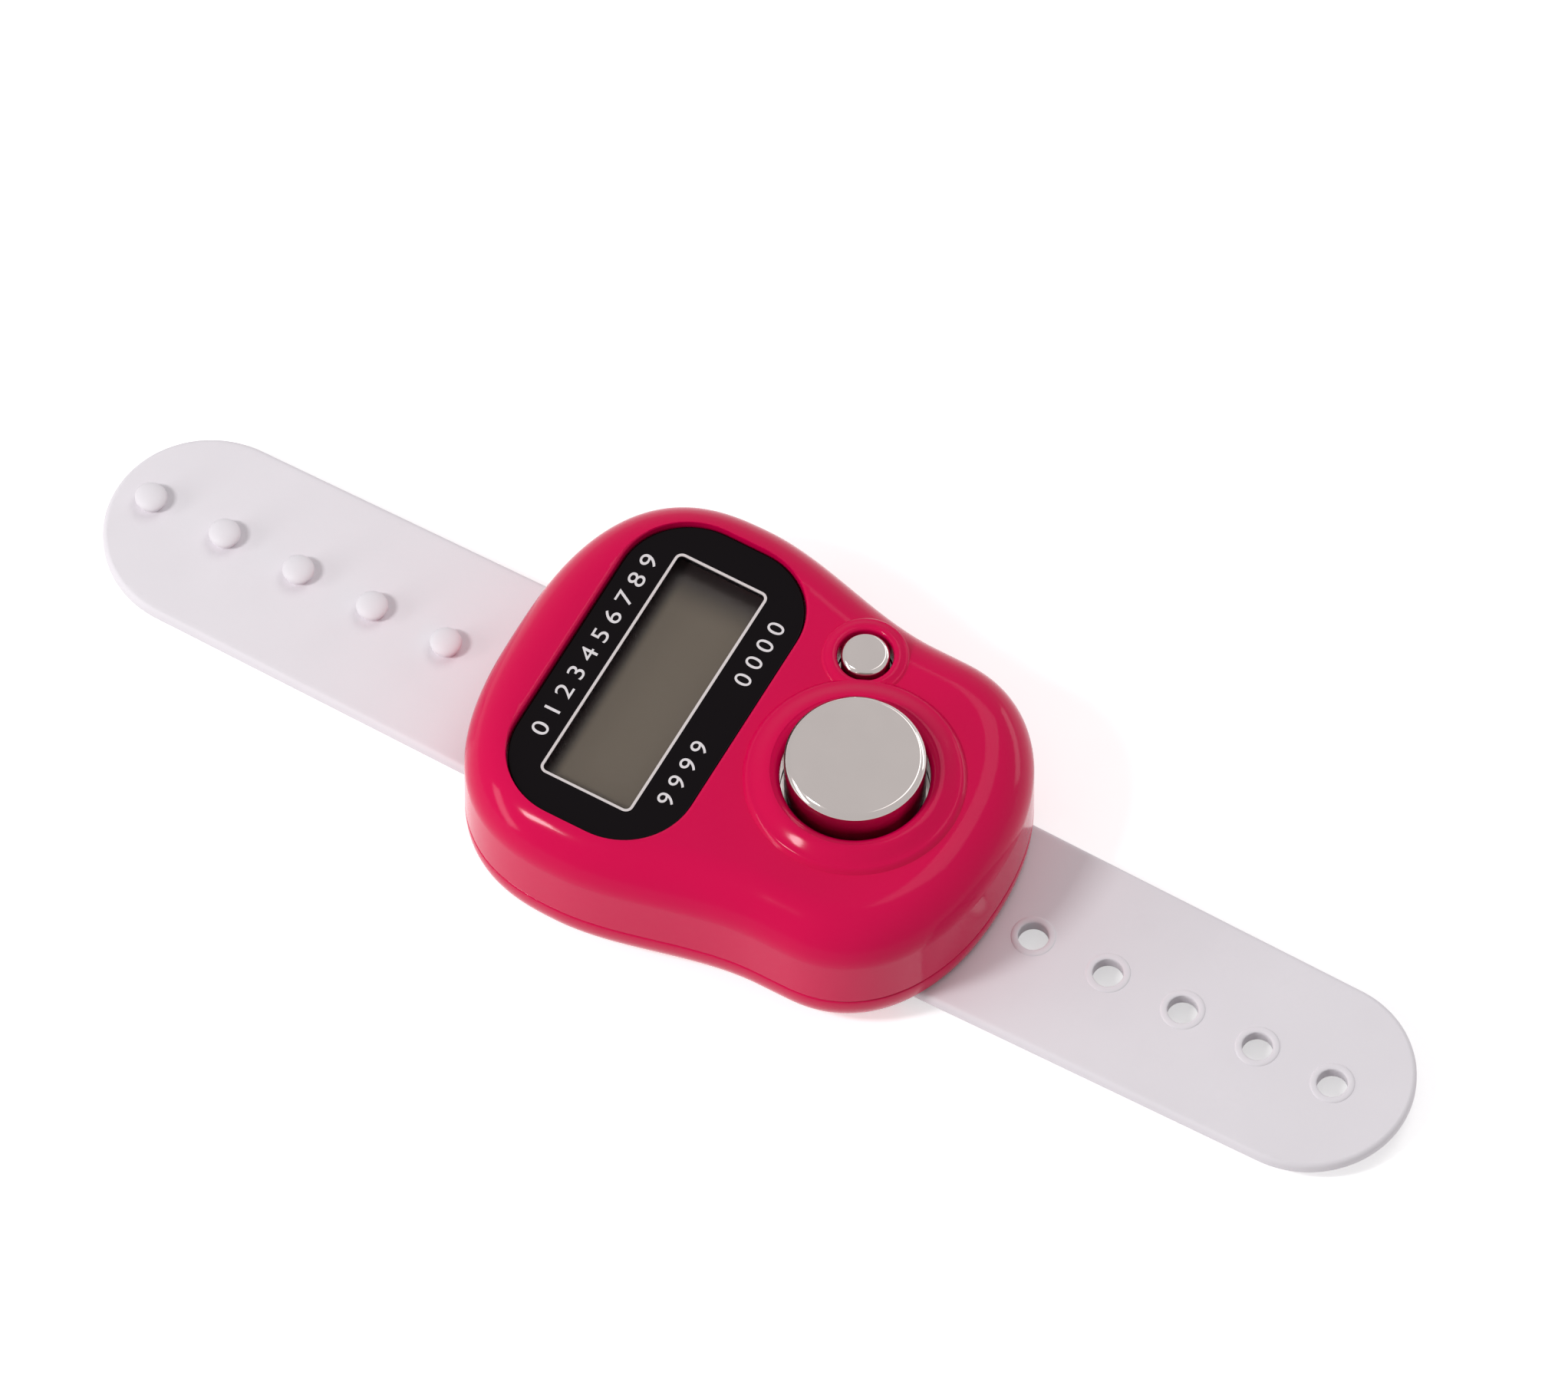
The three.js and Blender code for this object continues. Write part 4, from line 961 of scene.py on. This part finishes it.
def print_numerals(name, text, height, middle, run, low, high):
    """Numerals that read along Y with their tops towards the wide end, widened up to a run."""
    curve = bpy.data.curves.new(name, "FONT")
    curve.body = text
    curve.extrude = 0.5
    curve.resolution_u = 6
    letters = link_object(name, curve)
    bpy.context.view_layer.update()
    mesh = bpy.data.meshes.new_from_object(letters.evaluated_get(bpy.context.evaluated_depsgraph_get()))
    bpy.data.objects.remove(letters)
    xs, ys = [v.co.x for v in mesh.vertices], [v.co.y for v in mesh.vertices]
    scale = height / (max(ys) - min(ys))
    most_widened = scale * 1.6
    widened = min(run / (max(xs) - min(xs)), most_widened)
    to_middle = Matrix.Translation((-(max(xs) + min(xs)) / 2, -(max(ys) + min(ys)) / 2, curve.extrude))
    size = Matrix.Diagonal((widened, scale, high - low, 1))
    place = Matrix.Translation((middle[0], middle[1], low)) @ Matrix.Rotation(math.pi / 2, 4, "Z")
    mesh.transform(place @ size @ to_middle)
    finish_piece(link_object(name, mesh), "screen_print", "case", "window_acrylic")


class COUNTER_OT_inside(bpy.types.Operator):
    """Finish the display, the circuit board, what is soldered to it, and the coin cell with its contacts"""

    bl_idname = "counter.inside"
    bl_label = "Inside"

    def execute(self, context):
        for material, nodes in (
            ("liquid_crystal_glass", ("lcd_front_glass", "lcd_rear_glass")),
            ("metallised_film", ("lcd_reflector",)),
            ("white_abs", ("lcd_carrier",)),
            ("tape_paper", ("window_tape",)),
            ("striped_rubber", ("zebra_strip",)),
            ("circuit_laminate", ("circuit_board",)),
            ("potting_epoxy", ("chip_blob", "resistor")),
            ("tinned_can", ("crystal",)),
            ("tinned_ceramic", ("capacitor_1", "capacitor_2")),
            ("cell_steel", ("coin_cell",)),
            ("spring_steel", ("negative_contact", "positive_contact")),
        ):
            for node in nodes:
                slots = frame["nodes"][node].data.materials
                slots.clear()
                slots.append(bpy.data.materials[material])
        return {"FINISHED"}


# ---- Buttons


def button_profile(node, bevel, flange, pusher):
    """A button from its pusher up: flange, side, and a bevelled edge with soft corners round a flat top."""
    low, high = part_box(node)
    outer = (high.y - low.y) / 2
    radius = outer - flange
    headroom, thickness = 0.3 * MM, 0.6 * MM
    flange_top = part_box("lcd_front_glass")[1].z + FACE_GAP - headroom
    flange_low = flange_top - thickness
    soft = bevel / 5
    return [
        (0, low.z),
        (pusher, low.z),
        (pusher, flange_low),
        (outer, flange_low),
        (outer, flange_top),
        (radius, flange_top),
        (radius, high.z - bevel - soft),
        (radius - soft / 3, high.z - bevel),
        (radius - bevel, high.z - soft / 3),
        (radius - bevel - soft, high.z),
        (radius - bevel - 2 * soft, high.z),
        (0, high.z),
    ]


def dome_profile(low, high):
    """A dome: the hollow under it, a flat foot, a flank that sweeps up, and a flat top."""
    foot, top, skirt, wall = (high.y - low.y) / 2, (high.y - low.y) / 4, 0.3 * MM, 0.22 * MM
    height = high.z - low.z
    flank = []
    for i in range(DOME_STEPS + 1):
        t = i / DOME_STEPS
        rise = skirt + (height - skirt) * math.sin(math.pi / 2 * t)
        flank.append((foot - skirt + (top - foot + skirt) * t, low.z + rise))
    hollow = [(0, high.z - 2 * wall)]
    hollow += [(radius - wall, max(z - 2 * wall, low.z)) for radius, z in reversed(flank)]
    rim = [(foot - skirt - wall, low.z), (foot, low.z), (foot, low.z + skirt)]
    return hollow + rim + flank + [(0, high.z)]


class COUNTER_OT_buttons(bpy.types.Operator):
    """Build both chromed buttons and the rubber domes under them"""

    bl_idname = "counter.buttons"
    bl_label = "Buttons"

    def execute(self, context):
        sizes = context.scene.counter_buttons
        kinds = (
            ("count", sizes.count_bevel, sizes.count_pusher),
            ("reset", sizes.reset_bevel, sizes.reset_pusher),
        )
        for kind, bevel, pusher in kinds:
            button = f"{kind}_button"
            place = middle_of(button)
            profile = button_profile(button, bevel, sizes.flange, pusher)
            key = add_object(f"{kind}_key", turned(place.x, place.y, profile))
            finish_piece(shade(key), "chrome_plate", button, "button_chrome", button)
            low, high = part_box(f"{kind}_dome")
            shape = turned(place.x, place.y, dome_profile(low, high), SMALL_SEGMENTS)
            dome = add_object(f"{kind}_rubber", shape)
            finish_piece(shade(dome), "dome_silicone", "case", "dome_rubber", f"{kind}_dome")
            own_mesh(dome)
        return {"FINISHED"}


# ---- Screws


def make_screw(tree, given):
    """A screw that stands on its head: a bevelled head with a cross recess, a shank and a point."""
    head, bevel, shank = given["Head radius"], given["Head bevel"], given["Shank radius"]
    face = add_node(tree, "ShaderNodeMath", {0: head, 1: bevel}, operation="SUBTRACT")
    rim = add_node(tree, "ShaderNodeMath", {0: given["Head height"], 1: bevel}, operation="SUBTRACT")
    thread = add_node(tree, "ShaderNodeMath", {0: given["Length"], 1: shank}, operation="SUBTRACT")
    deep = add_node(tree, "ShaderNodeMath", {0: given["Slot depth"], 1: 2.0}, operation="MULTIPLY")
    # Each part's radius below and above, its height, and where it starts.
    parts = []
    for below, above, height, start in (
        (face, head, bevel, 0.0),
        (head, head, rim, bevel),
        (shank, shank, thread, 0.0),
        (shank, 0.0, shank, thread),
    ):
        inputs = {"Vertices": SMALL_SEGMENTS, "Radius Bottom": below, "Radius Top": above, "Depth": height}
        part = add_node(tree, "GeometryNodeMeshCone", inputs)
        lift = add_node(tree, "ShaderNodeCombineXYZ", {"Z": start})
        parts.append(add_node(tree, "GeometryNodeTransform", {"Geometry": part, "Translation": lift}))
    body = add_node(tree, "GeometryNodeMeshBoolean", {"Mesh": parts}, operation="UNION", solver="MANIFOLD")
    width, run = given["Slot width"], given["Slot length"]
    arms = []
    for along, across in ((run, width), (width, run)):
        size = add_node(tree, "ShaderNodeCombineXYZ", {"X": along, "Y": across, "Z": deep})
        arms.append(add_node(tree, "GeometryNodeMeshCube", {"Size": size}))
    cross = add_node(tree, "GeometryNodeMeshBoolean", {"Mesh": arms}, operation="UNION", solver="MANIFOLD")
    inputs = {"Mesh 1": body, "Mesh 2": cross}
    return add_node(tree, "GeometryNodeMeshBoolean", inputs, operation="DIFFERENCE", solver="MANIFOLD")


class COUNTER_OT_screws(bpy.types.Operator):
    """Build the four case screws with their cross recesses"""

    bl_idname = "counter.screws"
    bl_label = "Case Screws"

    def execute(self, context):
        sizes = context.scene.counter_screws
        low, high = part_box("case_screw_1")
        labels = {key: sizes.bl_rna.properties[key].name for key in CounterScrewSizes.__annotations__}
        values = {text: getattr(sizes, key) for key, text in labels.items()}
        values["Length"] = high.z - low.z
        tree, identifiers = shape_tree("case_screw", values, make_screw, "plated_steel")
        points = [(x, y, low.z) for x, y in screw_places()]
        screws = grow("case_screws", tree, identifiers, values, points)
        nodes = [f"case_screw_{i}" for i in (1, 2, 3, 4)]
        finish_piece(screws, "plated_steel", "case", "screw_steel", *nodes)
        return {"FINISHED"}


# ---- Strap


def bend_places(kind):
    """Where a tail's hinges are along the strap."""
    return [j["pos_m"][0] for j in frame["joints"] if j["name"].startswith(f"{kind}_bend")]


def strap_edge(x, sizes):
    """Half the strap's width at x, and how much longer than straight its edge runs there."""
    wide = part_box("strap_middle")[1].y
    start = abs(bend_places("hole")[0])
    centre = cad_box[1].x - sizes.tip_radius
    past = abs(x) - centre
    if past > 0:
        half = math.sqrt(sizes.tip_radius**2 - past**2)
        return half, math.hypot(1, past / half)
    share = min(max((abs(x) - start) / (centre - start), 0), 1)
    return wide + (sizes.tip_radius - wide) * share, 1.0


def strap_section(sizes, x):
    """The strap's cross section at x, turning from Y towards Z. Its flats are cut near their edges."""
    half_width, lean = strap_edge(x, sizes)
    low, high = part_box("strap_middle")
    middle, half, edge = (low.z + high.z) / 2, (high.z - low.z) / 2, sizes.edge
    section = []
    for across, up, ways in rounded_corners():
        y, z = across * (half_width - edge * lean), middle + up * (half - edge)
        arc = [(x, y + edge * lean * cos, z + edge * sin) for cos, sin in ways]
        on_flat = [(x, across * (half_width - edge * lean - FLAT_MARGIN), middle + up * half)]
        section += arc + on_flat if across == up else on_flat + arc
    return section


def strap_stretch(sizes, start, end):
    """A stretch of strap between two places, in steps short enough to bend."""
    low, high = min(start, end), max(start, end)
    steps = max(1, round((high - low) / STRAP_STEP))
    return skin([strap_section(sizes, low + (high - low) * i / steps) for i in range(steps + 1)])


def strap_tip(sizes, start, side):
    """The last stretch, from a straight cut to the round tip."""
    low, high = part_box("strap_middle")
    radius = sizes.tip_radius
    centre = cad_box[1].x - radius
    widest = math.acos(max(start - centre, 0) / radius)
    outline = []
    for i in range(-2 * CURVE_STEPS, 2 * CURVE_STEPS + 1):
        a = widest * i / (2 * CURVE_STEPS)
        outline.append((centre + radius * math.cos(a), radius * math.sin(a), math.cos(a), math.sin(a)))
    half, lean = strap_edge(start, sizes)
    ends = [(start, half, 0, lean), (start, -half, 0, -lean)]
    if start < centre:
        outline += ends
    else:
        outline = [ends[1]] + outline[1:-1] + [ends[0]]
    outline = [(side * x, side * y, side * out_x, side * out_y) for x, y, out_x, out_y in outline]
    edges = quarter_round(0, low.z, sizes.edge, EDGE_STEPS, rising=False)
    return loft(outline, edges + quarter_round(0, high.z, sizes.edge, EDGE_STEPS))


def hole_cutter(sizes, x):
    """What a hole with rounded edges takes out of the strap."""
    low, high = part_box("strap_middle")
    radius, edge, turn = sizes.hole_radius, sizes.hole_edge, quarter_turn(EDGE_STEPS)
    profile = [(radius + edge, low.z - PAST)]
    profile += [(radius + edge * (1 - sin), low.z + edge * (1 - cos)) for sin, cos in turn]
    profile += [(radius + edge * (1 - cos), high.z - edge * (1 - sin)) for sin, cos in turn]
    return turned(x, 0, profile + [(radius + edge, high.z + PAST)], SMALL_SEGMENTS)


def make_stud(tree, given):
    """A stud: a neck with its root in the strap, and a rounded head that the neck runs up into."""
    root, height, radius = given["Root"], given["Height"], given["Head radius"]
    depth = add_node(tree, "ShaderNodeMath", {0: given["Neck height"], 1: root}, operation="ADD")
    inputs = {"Vertices": SMALL_SEGMENTS, "Radius": given["Neck radius"], "Depth": depth}
    neck = add_node(tree, "GeometryNodeMeshCylinder", inputs)
    half_neck = add_node(tree, "ShaderNodeMath", {0: depth, 1: 0.5}, operation="MULTIPLY")
    middle = add_node(tree, "ShaderNodeMath", {0: half_neck, 1: root}, operation="SUBTRACT")
    lift = add_node(tree, "ShaderNodeCombineXYZ", {"Z": middle})
    neck = add_node(tree, "GeometryNodeTransform", {"Geometry": neck, "Translation": lift})
    rise = add_node(tree, "ShaderNodeMath", {0: height, 1: given["Neck height"]}, operation="SUBTRACT")
    half_head = add_node(tree, "ShaderNodeMath", {0: rise, 1: HALF_HEAD_SHARE}, operation="MULTIPLY")
    middle = add_node(tree, "ShaderNodeMath", {0: height, 1: half_head}, operation="SUBTRACT")
    inputs = {"Segments": SMALL_SEGMENTS, "Rings": SMALL_SEGMENTS // 2, "Radius": 1.0}
    inputs = {"Geometry": add_node(tree, "GeometryNodeMeshUVSphere", inputs)}
    inputs["Translation"] = add_node(tree, "ShaderNodeCombineXYZ", {"Z": middle})
    inputs["Scale"] = add_node(tree, "ShaderNodeCombineXYZ", {"X": radius, "Y": radius, "Z": half_head})
    head = add_node(tree, "GeometryNodeTransform", inputs)
    inputs = {"Mesh": [neck, head]}
    return add_node(tree, "GeometryNodeMeshBoolean", inputs, operation="UNION", solver="MANIFOLD")


def make_rim(tree, given):
    """The low round rim of a hole."""
    half = add_node(tree, "ShaderNodeMath", {0: given["Rim width"], 1: 0.5}, operation="MULTIPLY")
    middle = add_node(tree, "ShaderNodeMath", {0: given["Hole radius"], 1: half}, operation="ADD")
    path, bead = [
        add_node(tree, "GeometryNodeCurvePrimitiveCircle", {"Resolution": count, "Radius": radius})
        for count, radius in ((SMALL_SEGMENTS, middle), (SMALL_SEGMENTS // 3, half))
    ]
    ring = add_node(tree, "GeometryNodeCurveToMesh", {"Curve": path, "Profile Curve": bead})
    flat = add_node(tree, "ShaderNodeMath", {0: given["Rim height"], 1: half}, operation="DIVIDE")
    size = add_node(tree, "ShaderNodeCombineXYZ", {"X": 1.0, "Y": 1.0, "Z": flat})
    return add_node(tree, "GeometryNodeTransform", {"Geometry": ring, "Scale": size})


class COUNTER_OT_strap(bpy.types.Operator):
    """Build the strap: its middle, both tails, the bends between their stretches, the holes and the studs"""

    bl_idname = "counter.strap"
    bl_label = "Strap"

    def execute(self, context):
        sizes = context.scene.counter_strap
        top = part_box("strap_middle")[1].z
        start = abs(bend_places("hole")[0]) - sizes.first_bend_start
        middle = add_object("strap_middle_strip", strap_stretch(sizes, -start, start))
        finish_piece(shade(middle, even=False), "frosted_silicone", "case", "silicone", "strap_middle")
        stud = {
            "Neck radius": sizes.stud_neck,
            "Neck height": sizes.stud_neck_height,
            "Head radius": sizes.stud_radius,
            "Height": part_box("stud_tail_2")[1].z - top,
            "Root": 0.3 * MM,
        }
        rim = {"Hole radius": sizes.hole_radius, "Rim width": sizes.rim_width, "Rim height": sizes.rim_height}
        for kind, side, piece, values, make in (
            ("hole", 1, "hole_rim", rim, make_rim),
            ("stud", -1, "stud", stud, make_stud),
        ):
            tree, identifiers = shape_tree(piece, values, make, "frosted_silicone")
            places = [abs(x) for x in bend_places(kind)]
            fasteners = [x + (places[2] - places[1]) / 2 for x in places[1:]]
            bodies = ["case"] + [f"{kind}_tail_{i + 1}" for i in range(len(places))]
            start = places[0] - sizes.first_bend_start
            for i, hinge in enumerate(places):
                end = hinge + (sizes.bend_reach if i else sizes.first_bend_reach)
                bend_strap(sizes, f"{kind}_bend_strip_{i + 1}", side * start, side * end, *bodies[i : i + 2])
                if i + 1 < len(places):
                    start = places[i + 1] - sizes.bend_reach
                    shape = strap_stretch(sizes, side * end, side * start)
                else:
                    shape = strap_tip(sizes, end, side)
                strip = add_object(f"{kind}_strip_{i + 1}", shape)
                if kind == "hole" and i > 0:
                    cut(strip, hole_cutter(sizes, side * fasteners[i - 1]))
                finish_piece(shade(strip), "frosted_silicone", bodies[i + 1], "silicone", bodies[i + 1])
                if i > 0:
                    point = (side * fasteners[i - 1], 0, top)
                    fastener = grow(f"{piece}_{i}", tree, identifiers, values, [point])
                    finish_piece(fastener, "frosted_silicone", bodies[i + 1], "silicone")
        return {"FINISHED"}


def bend_strap(sizes, name, start, end, before, after):
    """A stretch of strap across one hinge, in the strap's material."""
    strip = shade(add_object(name, strap_stretch(sizes, start, end)), even=False)
    strip.data.materials.append(bpy.data.materials["frosted_silicone"])
    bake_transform(strip)


# ---- Stage


def look_direction(azimuth, elevation):
    """The way from an object to a camera, azimuth 0 being the side of -Y."""
    a, e = math.radians(azimuth), math.radians(elevation)
    return Vector((math.sin(a) * math.cos(e), -math.cos(a) * math.cos(e), math.sin(e)))


def add_lamp(name, place, size, watts):
    """A soft rectangular lamp that points at the counter, placed right, away and up as the picture has it."""
    lamp = bpy.data.lights.new(name, "AREA")
    lamp.shape = "RECTANGLE"
    lamp.size, lamp.size_y = size
    lamp.energy = watts
    obj = link_object(name, lamp)
    turn = Matrix.Rotation(math.radians(CAMERA_AZIMUTH), 3, "Z")
    obj.location = turn @ Vector(place)
    facing = obj.location.normalized()
    across = turn @ Vector((1, 0, 0))
    across = (across - facing * across.dot(facing)).normalized()
    obj.rotation_euler = Matrix((across, facing.cross(across), facing)).transposed().to_euler()


class COUNTER_OT_stage(bpy.types.Operator):
    """Set up the camera, the floor, the world and the lamps"""

    bl_idname = "counter.stage"
    bl_label = "Stage"

    def execute(self, context):
        scene, stage = context.scene, context.scene.counter_stage
        scene.view_settings.view_transform = "Standard"
        camera = bpy.data.cameras.new("camera")
        camera.sensor_width = SENSOR_WIDTH
        camera.lens = SENSOR_WIDTH * CAMERA_DISTANCE * PHOTO_PIXELS_PER_METRE / PHOTO_SIZE[0]
        camera.clip_start, camera.clip_end = 0.01, 20
        scene.camera = link_object("camera", camera)
        direction = look_direction(CAMERA_AZIMUTH, CAMERA_ELEVATION)
        scene.camera.location = CAMERA_TARGET + direction * CAMERA_DISTANCE
        scene.camera.rotation_euler = direction.to_track_quat("Z", "Y").to_euler()
        half, low = 3.0, -FACE_GAP
        corners = [(-half, -half, low), (half, -half, low), (half, half, low), (-half, half, low)]
        floor = add_object("floor", (corners, [(0, 1, 2, 3)]))
        floor.data.materials.append(floor_material(scene.counter_colours, stage.floor_glow))
        scene.world = bpy.data.worlds.new("studio")
        tree = empty_tree(scene.world)
        light, seen = [
            add_node(tree, "ShaderNodeBackground", {"Color": WHITE, "Strength": strength})
            for strength in (stage.world_strength, 1.0)
        ]
        mixed = add_node(tree, "ShaderNodeMixShader", {0: seen_or_mirrored(tree), 1: light, 2: seen})
        add_node(tree, "ShaderNodeOutputWorld", {"Surface": mixed})
        add_lamp("key_lamp", (-0.292, -0.134, 0.383), (0.115, 0.052), stage.key_power)
        add_lamp("right_lamp", (0.19, 0.24, 0.5), (0.27, 0.38), stage.right_power)
        add_lamp("strip_lamp", (-0.42, -0.1, 0.15), (0.08, 0.3), stage.strip_power)
        add_lamp("rim_lamp", (0.42, 0.27, 0.08), (0.3, 0.1), stage.rim_power)
        return {"FINISHED"}


# ---- Panel and start


class COUNTER_PT_panel(bpy.types.Panel):
    """Lists the counter's pieces, sizes and colours"""

    bl_idname = "COUNTER_PT_panel"
    bl_label = "Finger Tally Counter"
    bl_space_type = "VIEW_3D"
    bl_region_type = "UI"
    bl_category = "Counter"

    def draw(self, context):
        for operator in STEPS:
            self.layout.operator(operator.bl_idname)
        for name in GROUPS:
            group = getattr(context.scene, name)
            box = self.layout.box()
            for key in group.__annotations__:
                box.prop(group, key)


GROUPS = {
    "counter_case": CounterCaseSizes,
    "counter_window": CounterWindowSizes,
    "counter_buttons": CounterButtonSizes,
    "counter_strap": CounterStrapSizes,
    "counter_screws": CounterScrewSizes,
    "counter_stage": CounterStage,
    "counter_colours": CounterColours,
}
STEPS = (
    COUNTER_OT_stage,
    COUNTER_OT_materials,
    COUNTER_OT_front_shell,
    COUNTER_OT_back_shell,
    COUNTER_OT_window,
    COUNTER_OT_inside,
    COUNTER_OT_buttons,
    COUNTER_OT_screws,
    COUNTER_OT_strap,
)


def register():
    for cls in (*GROUPS.values(), *STEPS, COUNTER_PT_panel):
        bpy.utils.register_class(cls)
    for name, cls in GROUPS.items():
        setattr(bpy.types.Scene, name, PointerProperty(type=cls))


def unregister():
    for name in GROUPS:
        delattr(bpy.types.Scene, name)
    for cls in (COUNTER_PT_panel, *reversed(STEPS), *reversed(list(GROUPS.values()))):
        bpy.utils.unregister_class(cls)


def main():
    register()
    bpy.ops.counter.stage()
    bpy.ops.counter.materials()
    bpy.ops.counter.front_shell()
    bpy.ops.counter.back_shell()
    bpy.ops.counter.window()
    bpy.ops.counter.inside()
    bpy.ops.counter.buttons()
    bpy.ops.counter.screws()
    bpy.ops.counter.strap()


if __name__ == "__main__":
    main()
